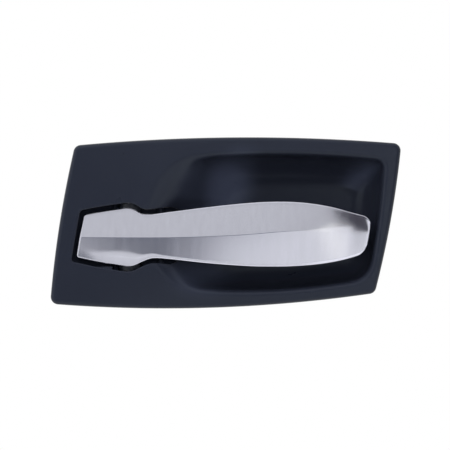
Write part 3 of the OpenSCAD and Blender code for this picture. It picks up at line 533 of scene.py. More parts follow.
class LeverForm:
    """The lever's curves along its length and its cross-sections, worked out from its sizes."""

    # How far the sections lean towards the tip for each step up
    lean = 0.175
    # Rounding of the upper and lower sides at the head's end and at the tip, by length and height
    top_ends = ((1.6 * MM, 1.6 * MM), (4.5 * MM, 5 * MM))
    bottom_ends = ((1.4 * MM, 1.4 * MM), (4 * MM, 6 * MM))
    # Rounding of the face at the tip, and the longer droop of the ridge towards it
    face_tip, droop = (1.2 * MM, 1.2 * MM), (10 * MM, 1.6 * MM)
    # End of the plate's opening past the hinge axis, and the rounding of its left and right ends
    opening_end = 24 * MM
    opening_left = (1.8 * MM, 1.8 * MM)
    opening_low, opening_top = (5 * MM, 5 * MM), (10.5 * MM, 9.5 * MM)
    # Where the tip's softer form starts past the hinge axis, and the length over which it grows
    tip_from, tip_over = 70 * MM, 35 * MM
    # Curl of the upper facet at the tip, and the share of its slope that the lower facet loses there
    tip_curl, tip_relief = 0.19, 0.82
    # How far before the head's end the bevel starts to form, and the length over which it does
    bevel_lead, bevel_over = 2 * MM, 21 * MM
    # Half width of the ridge's rounding, and what the tip adds to it
    ridge_round, tip_round = 0.16 * MM, 2.2 * MM
    # Half width of the bevel's crease where the bevel is narrow, and its growth on a wider bevel
    crease_round, crease_growth, narrow_bevel = 0.3 * MM, 0.34, 1.7 * MM
    # Radius round the hinge axis that the cover's back leaves free
    hub_room = 5.3 * MM

    def __init__(self, v):
        self.v = v
        self.hinge_x, self.lever_z = HINGE.x, HINGE.z
        self.start, self.end = self.hinge_x - v.head, self.hinge_x + v.blade
        z, hx, end = self.lever_z, self.hinge_x, self.end
        neck, blade = z + 0.4 * MM, z + 1.4 * MM
        self.top_keys = [
            (self.start, z + v.head_h / 2 - 3 * MM),
            (self.start + 6.7 * MM, z + v.head_h / 2 - 1.7 * MM),
            (hx - 7 * MM, z + v.head_h / 2 - 0.4 * MM),
            (hx - 2.8 * MM, z + v.head_h / 2),
            (hx, z + v.head_h / 2 - 0.8 * MM),
            (hx + 3.8 * MM, neck + v.neck_h / 2 + 0.25 * MM),
            (hx + 6.6 * MM, neck + v.neck_h / 2),
            (hx + 16 * MM, neck + v.neck_h / 2 + 1.15 * MM),
            (hx + 33 * MM, neck + v.neck_h / 2 + 3.35 * MM),
            (hx + 50.6 * MM, blade + v.blade_h / 2 - 0.5 * MM),
            (hx + 63.7 * MM, blade + v.blade_h / 2),
            (hx + 75 * MM, blade + v.blade_h / 2 - 0.55 * MM),
            (end - 19.5 * MM, blade + v.tip_h / 2 + 5.2 * MM),
            (end - 10.3 * MM, blade + v.tip_h / 2 + 2.8 * MM),
            (end, blade + v.tip_h / 2 + 0.3 * MM),
        ]
        self.bottom_keys = [
            (self.start, z - v.head_h / 2 + 4.1 * MM),
            (hx - 12 * MM, z - v.head_h / 2 + 2 * MM),
            (hx - 4.5 * MM, z - v.head_h / 2 + 0.8 * MM),
            (hx + 1.8 * MM, z - v.head_h / 2),
            (hx + 4.3 * MM, z - v.head_h / 2 + 0.4 * MM),
            (hx + 7.5 * MM, neck - v.neck_h / 2 - 1.6 * MM),
            (hx + 10.9 * MM, neck - v.neck_h / 2 - 0.2 * MM),
            (hx + 13.7 * MM, neck - v.neck_h / 2 + 0.05 * MM),
            (hx + 20 * MM, neck - v.neck_h / 2 - 0.45 * MM),
            (hx + 37.7 * MM, neck - v.neck_h / 2 - 2.3 * MM),
            (hx + 55.5 * MM, blade - v.blade_h / 2 + 0.15 * MM),
            (hx + 64.2 * MM, blade - v.blade_h / 2),
            (hx + 73.2 * MM, blade - v.blade_h / 2 + 0.1 * MM),
            (end - 20.4 * MM, blade - v.tip_h / 2 - 6.45 * MM),
            (end - 10.2 * MM, blade - v.tip_h / 2 - 4.65 * MM),
            (end, blade - v.tip_h / 2 - 1.6 * MM),
        ]
        self.ridge_line = [
            (self.start, z - 0.1 * MM),
            (hx + 20 * MM, z - 0.1 * MM),
            (hx + 48.7 * MM, z + 1 * MM),
            (hx + 70.7 * MM, z + 2.7 * MM),
            (end - 13 * MM, z + 3.2 * MM),
            (end, z + 1.6 * MM),
        ]
        self.bevel_widths = [
            (self.start, 4.6 * MM),
            (hx - 13.6 * MM, 4.5 * MM),
            (hx + 1.6 * MM, 5.6 * MM),
            (hx + 8 * MM, 2.9 * MM),
            (hx + 14 * MM, 1.7 * MM),
            (hx + 19.5 * MM, 1.3 * MM),
            (hx + 38 * MM, 1.2 * MM),
            (end, 1.2 * MM),
        ]
        self.reach_keys = [
            (self.start, v.ridge_head),
            (hx, v.ridge_hinge),
            (hx + 22 * MM, (v.ridge_hinge + v.ridge_blade) / 2),
            (hx + 57 * MM, v.ridge_blade),
            (end - 23.5 * MM, v.ridge_blade - 1 * MM),
            (end, v.ridge_tip),
        ]

    @staticmethod
    def curve(keys, x):
        """Smooth line through a few stations, with its neighbours' slope at each."""
        last = len(keys) - 1
        i = 0
        while i < last - 1 and x > keys[i + 1][0]:
            i += 1

        def slope(k):
            a, b = max(0, k - 1), min(last, k + 1)
            return (keys[b][1] - keys[a][1]) / (keys[b][0] - keys[a][0])

        w = keys[i + 1][0] - keys[i][0]
        t = (x - keys[i][0]) / w
        m0, m1 = slope(i) * w, slope(i + 1) * w
        return (
            keys[i][1] * (2 * t**3 - 3 * t * t + 1)
            + m0 * (t**3 - 2 * t * t + t)
            + keys[i + 1][1] * (3 * t * t - 2 * t**3)
            + m1 * (t**3 - t * t)
        )

    @staticmethod
    def lost(d, a, b):
        """Height lost at distance d from an end that is rounded over length a and height b."""
        return 0 if d >= a else b * (1 - math.sqrt(max(0, 1 - ((a - d) / a) ** 2)))

    def end_loss(self, s, head, tip):
        """Height lost at s to the rounded ends of the head and the tip, each by length and height."""
        return self.lost(s - self.start, *head) + self.lost(self.end - s, *tip)

    def top(self, s):
        """Height of the upper side at s."""
        return self.curve(self.top_keys, s) - self.end_loss(s, *self.top_ends)

    def bottom(self, s):
        """Height of the lower side at s."""
        return self.curve(self.bottom_keys, s) + self.end_loss(s, *self.bottom_ends)

    def reach(self, s):
        """Reach of the ridge in front of the panel's face at s."""
        return self.curve(self.reach_keys, s)

    def leaned(self, s, z):
        """Place across of a point at height z on the section at s, which leans with the lever."""
        return s + self.lean * (z - self.lever_z)

    def opening(self, gap_end, gap_side, shares=150):
        """Outline of the plate's opening round the head and neck."""
        first, last = self.start - gap_end, self.hinge_x + self.opening_end
        low, top = [], []
        for i in range(shares + 1):
            s = first + (last - first) * (0.5 - 0.5 * math.cos(math.pi * i / shares))
            at = max(s, self.start)
            loss = self.lost(s - first, *self.opening_left)
            z = self.curve(self.bottom_keys, at) - gap_side + loss
            z += self.lost(last - s, *self.opening_low)
            low.append((self.leaned(s, z), z))
            z = self.curve(self.top_keys, at) + gap_side - loss
            z -= self.lost(last - s, *self.opening_top)
            top.append((self.leaned(s, z), z))
        return np.array(low + top[::-1])

    def section(self, s, hollow):
        """One cross-section: ridge, lower facet, bevel, bottom wall, cavity, top wall, upper facet."""
        v = self.v
        edge, wall, back = v.edge, v.wall, self.reach(s) - v.depth
        top, bottom, ridge = self.top(s), self.bottom(s), self.curve(self.ridge_line, s)
        crease = bottom + self.curve(self.bevel_widths, s)
        at_tip = float(smooth((s - self.hinge_x - self.tip_from) / self.tip_over))
        formed = float(smooth((s - self.start + self.bevel_lead) / self.bevel_over))
        up, curl = (1 - at_tip) * math.tan(v.upper), self.tip_curl * at_tip
        down = (1 - self.tip_relief * at_tip) * math.tan(v.lower)
        fall = down + (math.tan(v.bevel) - down) * formed
        wide = top - edge - ridge
        loss = self.end_loss(s, (edge, edge), self.face_tip) + self.lost(self.end - s, *self.droop)
        ridge_h = self.reach(s) - loss
        top_h = ridge_h - wide * (up + curl)
        crease_h = ridge_h - down * (ridge - crease)
        bottom_h = crease_h - fall * (crease - bottom - edge)
        near = self.ridge_round + self.tip_round * at_tip
        soft = self.crease_round + self.crease_growth * max(0, crease - bottom - self.narrow_bevel)

        def facet(t):
            d = near + (wide - near) * t
            return (ridge + d, ridge_h - d * (up + curl * d / wide))

        peak = (ridge, ridge_h - (up + down) * near / 4)
        below = (ridge - near / 2, ridge_h - down * near / 2)
        points = bend_points(peak, below, (ridge - near, ridge_h - down * near), 6)
        points += [((ridge + crease) / 2, (ridge_h + crease_h) / 2)]
        over, under = (crease + soft, crease_h + down * soft), (crease - soft, crease_h - fall * soft)
        points += bend_points(over, (crease, crease_h), under, 9)
        points += arc(bottom + edge, bottom_h - edge, edge, 90, 180, 7)
        points += [(bottom, back)]
        if hollow:
            # The cavity follows the facets a wall behind them, a little nearer at its two sides
            points += [
                (bottom + wall, back),
                (bottom + wall, bottom_h - wall * 0.9),
                (crease + 0.6 * MM, crease_h - wall),
                (ridge, ridge_h - wall),
                (top - wall, top_h - wall * 0.95),
                (top - wall, back),
            ]
        else:
            inside = top - bottom - 2 * wall
            points += [(bottom + wall + inside * t, back) for t in (0, 0, 0.35, 0.65, 1, 1)]
        points += [(top, back)]
        points += arc(top - edge, top_h - edge, edge, 0, 90, 7)
        points += [facet(t) for t in (0.9, 0.78, 0.64, 0.5, 0.36, 0.24, 0.12)]
        points += bend_points(facet(0), (ridge + near / 2, ridge_h - up * near / 2), peak, 6)[:-1]
        ring = []
        for z, h in points:
            x, y = self.leaned(s, z), -h
            room = self.hub_room**2 - (x - HINGE.x) ** 2
            if room > 0:
                y = min(y, HINGE.y - PANEL_Y - math.sqrt(room))
            ring.append((x, y + PANEL_Y, z))
        return np.array(ring)


def handle():
    """Settings of the door handle in this scene."""
    return bpy.context.scene.door_handle


class HANDLE_OT_trim_plate(bpy.types.Operator):
    """Trim plate with its rolled edge, crowned face, finger pocket and the lever's opening"""

    bl_idname = "handle.trim_plate"
    bl_label = "Trim plate"

    def execute(self, context):
        z = handle().plate
        form, lever = PlateForm(z), LeverForm(handle().lever)
        front = form.front()
        plate = new_piece("trim_plate_shell", *skin(form.back() + front))
        points, faces = skin(front, closed=False)
        seen = BVHTree.FromPolygons([tuple(p) for p in points], faces)
        cut(plate, self.opening_tool(lever.opening(z.gap_end, z.gap_side), seen, z.lip))
        extend(plate, self.back_parts(form, z))
        finish_shading(plate.data, PLATE_CREASE)
        plate.data.materials.append(plate_plastic())
        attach(plate, "housing")
        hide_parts("trim_plate")
        return {"FINISHED"}

    @staticmethod
    def back_parts(form, z):
        """Fixing bosses with their fins, bosses for the carrier's screws and tabs for the clips."""
        parts, fins = [], []
        # Bosses start inside the plate's wall, and the right-hand pair inside the deeper pocket's
        end, front, in_pocket = -PANEL_Y, -3 * MM, z.pocket_depth - 3.8 * MM
        overlap, fin_end = 0.5 * MM, end - 4 * MM
        lug_front, lug_end, lug_depth = -4.2 * MM, 3 * MM, 5.6 * MM
        tab_front, tab_end = -4 * MM, 8 * MM
        for side_x in (-1, 1):
            for side_z in (-1, 1):
                x, y = side_x * z.boss_across / 2, side_z * z.boss_up / 2
                start = in_pocket if side_x > 0 else front
                parts.append(post(x, y, start, end, z.boss, z.boss_hole, z.hole_depth))
                far = abs(y) + z.boss - overlap
                tip = abs(form.along_edge(form.share_at(x, side_z), side_z, z.wall + overlap)[1])
                fins.append(slab(x, side_z * (far + tip) / 2, (front, fin_end), z.fin, tip - far))
        for x in LUG_ACROSS:
            for y in LUG_UP:
                parts.append(post(HINGE.x + x, y, lug_front, lug_end, z.lug, z.lug_hole, lug_depth))
        for share, side in TAB_PLACES:
            x, y = form.along_edge(share, side, z.tab_inset)
            parts.append(slab(x, y, (tab_front, tab_end), z.tab_width, z.tab))
        return parts + fins

    @staticmethod
    def opening_tool(outline, seen, lip):
        """Cutter with a rounded flare where it leaves the plate's face."""
        ahead, behind = -15 * MM, 9 * MM
        last, flare = math.radians(62), 1.4 * MM
        heights = []
        for x, z in outline:
            hit = seen.ray_cast(Vector((x, -0.1, z)), Vector((0, 1, 0)))[0]
            heights.append(hit.y - PANEL_Y)
        heights = np.array(heights)
        rings = [in_depth(outline, behind)]
        for a in np.linspace(0, last, 7):
            ring = grown(outline, lip * (1 - math.cos(a)))
            rings.append(in_depth(ring, heights + lip * (1 - math.sin(a))))
        out = lip * (1 - math.cos(last)) + flare * math.sin(last)
        rise = lip * (1 - math.sin(last)) - flare * math.cos(last)
        rings.append(in_depth(grown(outline, out), heights + rise))
        rings.append(in_depth(grown(outline, out), ahead))
        return new_piece("opening_tool", *skin(rings))


class HANDLE_OT_lever_cover(bpy.types.Operator):
    """Chromed cover of the lever: head, neck and blade with their ridge, facets and bevel"""

    bl_idname = "handle.lever_cover"
    bl_label = "Lever cover"

    def execute(self, context):
        v = handle().lever
        form, hinge = LeverForm(v), HINGE.x
        cavity_start, cavity_end = form.start + v.wall, form.end - v.wall - 1.5 * MM
        # Shares of the solid ends at which sections stand, closer together towards the outside
        head = [0, 0.02, 0.06, 0.12, 0.2, 0.3, 0.42, 0.56, 0.74, 1]
        tip = [0, 0.012, 0.035, 0.07, 0.12, 0.18, 0.26, 0.36, 0.48, 0.62, 0.8, 1]
        rings = [form.section(form.start + f * v.wall, False) for f in head]
        rings += [form.section(s, True) for s in np.linspace(cavity_start, hinge - 8 * MM, 16)]
        # The neck's sections stand closest together, because its curves are the tightest
        rings += [form.section(hinge + s * MM, True) for s in np.arange(-7.6, 18, 0.4)]
        rings += [form.section(s, True) for s in np.linspace(hinge + 18.4 * MM, cavity_end, 90)]
        rings += [form.section(form.end + (cavity_end - form.end) * f, False) for f in tip[::-1]]
        cover = new_piece("lever_cover_shell", *skin(rings), crease=COVER_CREASE)
        post_inset, post_hole, post_length = 1 * MM, 1.05 * MM, 3 * MM
        posts = []
        for s in (form.start + POST_IN_HEAD, *(hinge + s for s in POST_ALONG)):
            front = post_inset - form.reach(s)
            end = v.wall + post_length - form.reach(s)
            z = form.curve(form.ridge_line, s)
            posts.append(post(s, z, front, end, v.post, post_hole, post_length))
        extend(cover, posts)
        finish_shading(cover.data, COVER_CREASE)
        cover.data.materials.append(satin_chrome())
        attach(cover, "lever")
        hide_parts("lever_cover")
        return {"FINISHED"}


class HANDLE_OT_return_spring(bpy.types.Operator):
    """Return spring: a coil of round wire between the carrier's back wall and the lever"""

    bl_idname = "handle.return_spring"
    bl_label = "Return spring"

    def execute(self, context):
        z = handle().spring
        low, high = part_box("return_spring")
        steps_in_turn = 64
        count = int(steps_in_turn * z.turns)
        centre = np.array([HINGE.x, HINGE.y])
        path = [(HINGE.x - z.coil, high.y - z.wire, low.z + z.wire)]
        for i in range(count + 1):
            a = math.pi + 2 * math.pi * z.turns * i / count
            x, y = centre + z.coil * np.array([math.cos(a), math.sin(a)])
            path.append((x, y, low.z + z.wire + (high.z - low.z - 2 * z.wire) * i / count))
        path.append((low.x + z.wire, path[-1][1], high.z - z.wire))
        points, faces = self.tube(np.array(path), z.wire)
        spring = new_piece("return_spring_wire", points, faces)
        spring.data.materials.append(working_finish("spring_steel"))
        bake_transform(spring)
        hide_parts("return_spring")
        return {"FINISHED"}

    @staticmethod
    def tube(path, radius, sides=10):
        """Closed skin of a round wire along path."""
        rings = []
        for i, p in enumerate(path):
            d = unit(path[min(i + 1, len(path) - 1)] - path[max(i - 1, 0)])
            u = unit(np.cross(d, (0, 0, 1)))
            v = np.cross(u, d)
            turn = np.linspace(0, 2 * math.pi, sides, endpoint=False)
            rings.append(np.array([p + radius * (u * math.cos(t) + v * math.sin(t)) for t in turn]))
        return skin(rings)


# Finishes


def node_group(name, inputs, outputs):
    """Empty shader node group with its sockets, and its input and output nodes."""
    group = bpy.data.node_groups.new(name, "ShaderNodeTree")
    for label, kind, default in inputs:
        socket = group.interface.new_socket(label, in_out="INPUT", socket_type=kind)
        socket.default_value = default
    for label, kind in outputs:
        group.interface.new_socket(label, in_out="OUTPUT", socket_type=kind)
    return group, group.nodes.new("NodeGroupInput"), group.nodes.new("NodeGroupOutput")


def add(tree, kind, links=(), **settings):
    """New node in tree; settings name its properties or sockets, links are (socket, source) pairs."""
    node = tree.nodes.new(kind)
    for key, value in settings.items():
        if hasattr(node, key):
            setattr(node, key, value)
        else:
            node.inputs[key.replace("_", " ")].default_value = value
    for socket, source in links:
        tree.links.new(source, node.inputs[socket])
    return node


def grain_group():
    """Fine moulded or blasted grain: its height, and a slower cloud for colour and gloss."""
    name = "Surface grain"
    if name in bpy.data.node_groups:
        return bpy.data.node_groups[name]
    group, entry, end = node_group(
        name,
        [
            ("Grain Scale", VALUE, 4000.0),
            ("Cloud Scale", VALUE, 60.0),
            ("Stretch", "NodeSocketVector", (1, 1, 1)),
        ],
        [("Height", VALUE), ("Cloud", VALUE)],
    )
    place = add(group, "ShaderNodeTexCoord")
    pulled = add(
        group,
        "ShaderNodeVectorMath",
        [(0, place.outputs["Object"]), (1, entry.outputs["Stretch"])],
        operation="MULTIPLY",
    )
    fine = add(
        group,
        "ShaderNodeTexNoise",
        [("Vector", pulled.outputs["Vector"]), ("Scale", entry.outputs["Grain Scale"])],
        Detail=2.0,
    )
    cloud = add(
        group,
        "ShaderNodeTexNoise",
        [("Vector", pulled.outputs["Vector"]), ("Scale", entry.outputs["Cloud Scale"])],
        Detail=4.0,
        Roughness=0.6,
    )
    group.links.new(fine.outputs["Fac"], end.inputs["Height"])
    group.links.new(cloud.outputs["Fac"], end.inputs["Cloud"])
    return group


def edge_highlight_scuff_group():
    """Painted edge highlight with scuffs: a mask of the sharp convex edges, broken up by noise."""
    name = "Edge wear"
    if name in bpy.data.node_groups:
        return bpy.data.node_groups[name]
    group, entry, end = node_group(
        name,
        [("Amount", VALUE, 0.3), ("Break Scale", VALUE, 300.0)],
        [("Mask", VALUE)],
    )
    place = add(group, "ShaderNodeTexCoord")
    shape = add(group, "ShaderNodeNewGeometry")
    edge = add(
        group,
        "ShaderNodeMapRange",
        [("Value", shape.outputs["Pointiness"])],
        From_Min=0.52,
        From_Max=0.6,
    )
    broken = add(
        group,
        "ShaderNodeTexNoise",
        [("Vector", place.outputs["Object"]), ("Scale", entry.outputs["Break Scale"])],
        Detail=3.0,
    )
    mask = add(
        group,
        "ShaderNodeMath",
        [(0, edge.outputs["Result"]), (1, broken.outputs["Fac"])],
        operation="MULTIPLY",
    )
    out = add(
        group,
        "ShaderNodeMath",
        [(0, mask.outputs["Value"]), (1, entry.outputs["Amount"])],
        operation="MULTIPLY",
        use_clamp=True,
    )
    group.links.new(out.outputs["Value"], end.inputs["Mask"])
    return group


def finish(
    name,
    colour,
    cloudy=0.15,
    gloss=(0.3, 0.4),
    metal=0.0,
    grain=(4000, 0.02, 0.05),
    stretch=(1, 1, 1),
    edge_highlight_scuff=(0.2, 1.6),
    specular=0.5,
    sheen=(1, 1, 1),
    cloud=60,
):
    """Material with cloudy colour and gloss, a grained surface and a painted edge highlight with scuffs.

    gloss is the roughness from its smoothest to its dullest patches, grain is (scale, strength,
    depth in mm), worn is (amount, how much brighter the painted highlight and scuffs make a sharp
    edge), sheen tints the highlights and cloud is how many patches of colour and gloss lie in a
    metre.
    """
    if name in bpy.data.materials:
        return bpy.data.materials[name]
    material = bpy.data.materials.new(name)
    material.use_nodes = True
    tree = material.node_tree
    shader = tree.nodes["Principled BSDF"]
    shader.inputs["Metallic"].default_value = metal
    shader.inputs["Specular IOR Level"].default_value = specular
    shader.inputs["Specular Tint"].default_value = (*sheen, 1)
    surface = add(tree, "ShaderNodeGroup", node_tree=grain_group())
    surface.inputs["Grain Scale"].default_value = grain[0]
    surface.inputs["Stretch"].default_value = stretch
    surface.inputs["Cloud Scale"].default_value = cloud
    # Painted edge highlight with scuffs: sharp convex edges get a brighter colour through this mask
    highlight_and_scuffs = add(tree, "ShaderNodeGroup", node_tree=edge_highlight_scuff_group())
    highlight_and_scuffs.inputs["Amount"].default_value = edge_highlight_scuff[0]
    dark = [c * (1 - cloudy) for c in colour] + [1]
    light = [min(1, c * (1 + cloudy)) for c in colour] + [1]
    least_paler = 0.004
    bright = [min(1, c * edge_highlight_scuff[1] + least_paler) for c in colour] + [1]
    base = add(tree, "ShaderNodeMix", [("Factor", surface.outputs["Cloud"])], data_type="RGBA")
    base.inputs[MIX_A].default_value, base.inputs[MIX_B].default_value = dark, light
    edged = add(tree, "ShaderNodeMix", [("Factor", highlight_and_scuffs.outputs["Mask"])], data_type="RGBA")
    tree.links.new(base.outputs[MIX_OUT], edged.inputs[MIX_A])
    edged.inputs[MIX_B].default_value = bright
    tree.links.new(edged.outputs[MIX_OUT], shader.inputs["Base Color"])
    rough = add(
        tree,
        "ShaderNodeMapRange",
        [("Value", surface.outputs["Cloud"])],
        From_Min=0.1,
        From_Max=0.9,
        To_Min=gloss[0],
        To_Max=gloss[1],
    )
    tree.links.new(rough.outputs["Result"], shader.inputs["Roughness"])
    bump = add(
        tree,
        "ShaderNodeBump",
        [("Height", surface.outputs["Height"])],
        Strength=grain[1],
        Distance=grain[2] * MM,
    )
    tree.links.new(bump.outputs["Normal"], shader.inputs["Normal"])
    return material


def plate_plastic():
    """Near-black satin plastic of the trim plate."""
    return finish(
        "Plate plastic",
        handle().finish.plate,
        0.06,
        (0.26, 0.32),
        grain=(2600, 0.05, 0.02),
        # Faint painted highlight with scuffs on the plate's sharp edges
        edge_highlight_scuff=(0.1, 1.5),
        specular=0.24,
        sheen=(0.78, 0.88, 1),
    )


def satin_chrome():
    """Satin chrome of the lever's cover, faintly streaked along its height."""
    return finish(
        "Satin chrome",
        handle().finish.chrome,
        0.07,
        (0.19, 0.25),
        metal=1.0,
        grain=(750, 0.09, 0.035),
        stretch=(1, 1, 0.07),
        edge_highlight_scuff=(0.0, 1.1),
        cloud=420,
    )


# Finishes of the parts behind the plate, by material slot: colour name, clouds, gloss, metal, grain
# and painted edge highlight with scuffs, as finish takes them
WORKING_FINISHES = {
    "carrier_plastic": ("carrier", 0.2, (0.42, 0.55), 0.0, (1500, 0.3, 0.05), (0.35, 2.2)),
    "core_plastic": ("core", 0.18, (0.38, 0.5), 0.0, (1800, 0.25, 0.04), (0.3, 2.2)),
    "pin_steel": ("steel", 0.08, (0.16, 0.28), 1.0, (900, 0.08, 0.02), (0.2, 1.3)),
    "screw_steel": ("zinc", 0.16, (0.28, 0.45), 1.0, (1400, 0.12, 0.02), (0.3, 1.3)),
    "spring_steel": ("spring", 0.2, (0.25, 0.4), 1.0, (1800, 0.1, 0.02), (0.2, 1.6)),
    "acetal": ("acetal", 0.05, (0.3, 0.4), 0.0, (1200, 0.1, 0.02), (0.1, 1.1)),
    "stop_rubber": ("rubber", 0.3, (0.6, 0.75), 0.0, (2200, 0.4, 0.06), (0.2, 2.0)),
    "pad_foam": ("foam", 0.35, (0.85, 0.97), 0.0, (1100, 0.9, 0.4), (0.2, 1.8)),
}


def working_finish(slot):
    """Material for a slot of the parts behind the plate."""
    colour, cloudy, gloss, metal, grain, edge_highlight_scuff = WORKING_FINISHES[slot]
    name = slot.replace("_", " ").capitalize()
    return finish(name, getattr(handle().finish, colour), cloudy, gloss, metal, grain, edge_highlight_scuff=edge_highlight_scuff)


class HANDLE_OT_working_parts(bpy.types.Operator):
    """Finishes of the parts behind the plate, which keep the frame's own shapes"""

    bl_idname = "handle.working_parts"
    bl_label = "Working parts"

    def execute(self, context):
        slots = {p["node"]: p["material_slot"] for p in frame["record"]["subparts"]}
        for node, piece in frame["nodes"].items():
            if piece.hide_render:
                continue
            for held in piece.material_slots:
                held.material = working_finish(slots[node])
        return {"FINISHED"}


# Stage


# Tints of the cards
WHITE = (1, 1, 1)
COOL = (0.9, 0.97, 1.22)
IVORY = (1, 0.99, 0.92)
VIOLET = (1, 0.92, 1.25)
# Cards that only the gloss sees, upright before the handle: name, distance before the panel, left
# and right sides, low and high sides, all from the plate's middle in mm, then tone and tint
CARDS = (
    ("Front card", 350, (-190, 60), (-70, 110), 0.15, COOL),
    ("Middle card", 350, (60, 108), (-70, 56), 0.68, WHITE),
    ("Upper card", 350, (-400, 60), (110, 420), 0.67, WHITE),
    ("Upper right card", 350, (60, 156), (56, 420), 0.6, WHITE),
    ("Lower left card", 350, (-124, -50), (-195, -70), 0.1, COOL),
    ("Left card", 350, (-400, -124), (-195, -70), 0.6, WHITE),
    ("Lower right card", 350, (-50, 400), (-195, -70), 0.87, WHITE),
    ("Low card", 185, (-250, 60), (-198, -84), 0.72, WHITE),
    ("Tip card", 345, (108, 156), (-80, 98), 1.3, IVORY),
    ("Right card", 345, (156, 520), (56, 420), 0.04, VIOLET),
    ("Low right card", 345, (200, 520), (-40, 56), 0.04, VIOLET),
)


class HANDLE_OT_stage(bpy.types.Operator):
    """White surroundings, pale floor, soft lamps, cards for the gloss, and the camera"""

    bl_idname = "handle.stage"
    bl_label = "Stage"

    def execute(self, context):
        z = handle().stage
        scene = context.scene
        scene.view_settings.view_transform = "Standard"
        self.surroundings(scene, z.surround)
        self.floor(z.floor_drop)
        middle = (Vector(cad_box[0]) + Vector(cad_box[1])) / 2
        self.lamp("Key lamp", middle, (-25, 50), 0.9, (0.9, 0.6), z.key_power)
        self.lamp("Fill lamp", middle, (-62, 8), 1.1, (0.7, 0.9), z.fill_power)
        self.lamp("Front lamp", middle, (0, 5), 1.2, (0.3, 0.3), z.front_power)
        self.spot("Ramp lamp", (-14, -14, 15), (10, 3), (12, 15), 0, z.ramp_power)
        self.spot("Low lamp", (-12, -14, -23), (5, -10), (17, 9), 0, z.low_power)
        self.spot("Pocket lamp", (1, -9, 16), (18, 3), (14, 19), 0, z.pocket_power)
        self.spot("Corner lamp", (60, -12, 20), (-15, -20), (6, 17), -45, z.corner_power)
        for card in CARDS:
            self.card(*card)
        self.camera(scene, z)
        return {"FINISHED"}

    @staticmethod
    def camera(scene, z):
        """Camera far in front of the plate, whose field is view_width wide at the plate's face."""
        data = bpy.data.cameras.new("Camera")
        data.sensor_width = 36
        data.lens = data.sensor_width * z.camera_reach / z.view_width
        data.clip_start, data.clip_end = 0.1, 50
        camera = bpy.data.objects.new("Camera", data)
        camera.location = (z.aim_x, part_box("trim_plate")[0].y - z.camera_reach, z.aim_z)
        camera.rotation_euler = (math.pi / 2, 0, 0)
        scene.collection.objects.link(camera)
        scene.camera = camera

    @staticmethod
    def surroundings(scene, strength):
        """World that lights evenly, and is white to the camera, in the gloss and through glass."""
        world = bpy.data.worlds.new("Studio")
        scene.world = world
        world.use_nodes = True
        tree = world.node_tree
        tree.nodes.clear()
        path = add(tree, "ShaderNodeLightPath")
        seen = path.outputs["Is Camera Ray"]
        for label in ("Is Glossy Ray", "Is Transmission Ray"):
            either = add(
                tree, "ShaderNodeMath", [(0, seen), (1, path.outputs[label])], operation="MAXIMUM"
            )
            seen = either.outputs["Value"]
        plain = add(tree, "ShaderNodeBackground", Color=(1, 1, 1, 1), Strength=strength)
        white = add(tree, "ShaderNodeBackground", Color=(1, 1, 1, 1), Strength=1.0)
        mix = add(
            tree,
            "ShaderNodeMixShader",
            [(0, seen), (1, plain.outputs["Background"]), (2, white.outputs["Background"])],
        )
        out = add(tree, "ShaderNodeOutputWorld")
        tree.links.new(mix.outputs["Shader"], out.inputs["Surface"])

    @staticmethod
    def floor(height):
        """Wide pale floor that glows a little to the camera and in the gloss."""
        half, glow_share = 2.3, 0.7
        corners = ((-half, -half), (half, -half), (half, half), (-half, half))
        floor = new_piece("floor", [(x, y, height) for x, y in corners], [(0, 1, 2, 3)])
        material = bpy.data.materials.new("Pale floor")
        material.use_nodes = True
        tree = material.node_tree
        shader = tree.nodes["Principled BSDF"]
        shader.inputs["Roughness"].default_value = 0.9
        place = add(tree, "ShaderNodeTexCoord")
        cloud = add(tree, "ShaderNodeTexNoise", [("Vector", place.outputs["Object"])], Scale=3.0)
        tone = add(
            tree,
            "ShaderNodeMapRange",
            [("Value", cloud.outputs["Fac"])],
            To_Min=0.93,
            To_Max=0.97,
        )
        tree.links.new(tone.outputs["Result"], shader.inputs["Base Color"])
        glow = add(tree, "ShaderNodeEmission", Color=(1, 1, 1, 1), Strength=1.0)
        path = add(tree, "ShaderNodeLightPath")
        seen = add(
            tree,
            "ShaderNodeMath",
            [(0, path.outputs["Is Camera Ray"]), (1, path.outputs["Is Glossy Ray"])],
            operation="MAXIMUM",
        )
        part = add(tree, "ShaderNodeMath", [(0, seen.outputs["Value"])], operation="MULTIPLY")
        part.inputs[1].default_value = glow_share
        mix = add(
            tree,
            "ShaderNodeMixShader",
            [(0, part.outputs["Value"]), (1, shader.outputs["BSDF"]), (2, glow.outputs["Emission"])],
        )
        tree.links.new(mix.outputs["Shader"], tree.nodes["Material Output"].inputs["Surface"])
        floor.data.materials.append(material)

    @staticmethod
    def facing(middle, heading, reach):
        """Place and turn of something that faces the object from an azimuth and elevation in degrees."""
        a, e = (math.radians(v) for v in heading)
        away = Vector((math.sin(a) * math.cos(e), -math.cos(a) * math.cos(e), math.sin(e)))
        return middle + away * reach, away.to_track_quat("Z", "Y")

    def lamp(self, name, middle, heading, reach, size, power):
        """Soft lamp that faces the object; its reach, width and height are in metres."""
        data = bpy.data.lights.new(name, "AREA")
        data.shape, data.size, data.size_y, data.energy = "RECTANGLE", *size, power
        lamp = bpy.data.objects.new(name, data)
        lamp.visible_glossy = False
        lamp.rotation_mode = "QUATERNION"
        lamp.location, lamp.rotation_quaternion = self.facing(middle, heading, reach)
        bpy.context.scene.collection.objects.link(lamp)

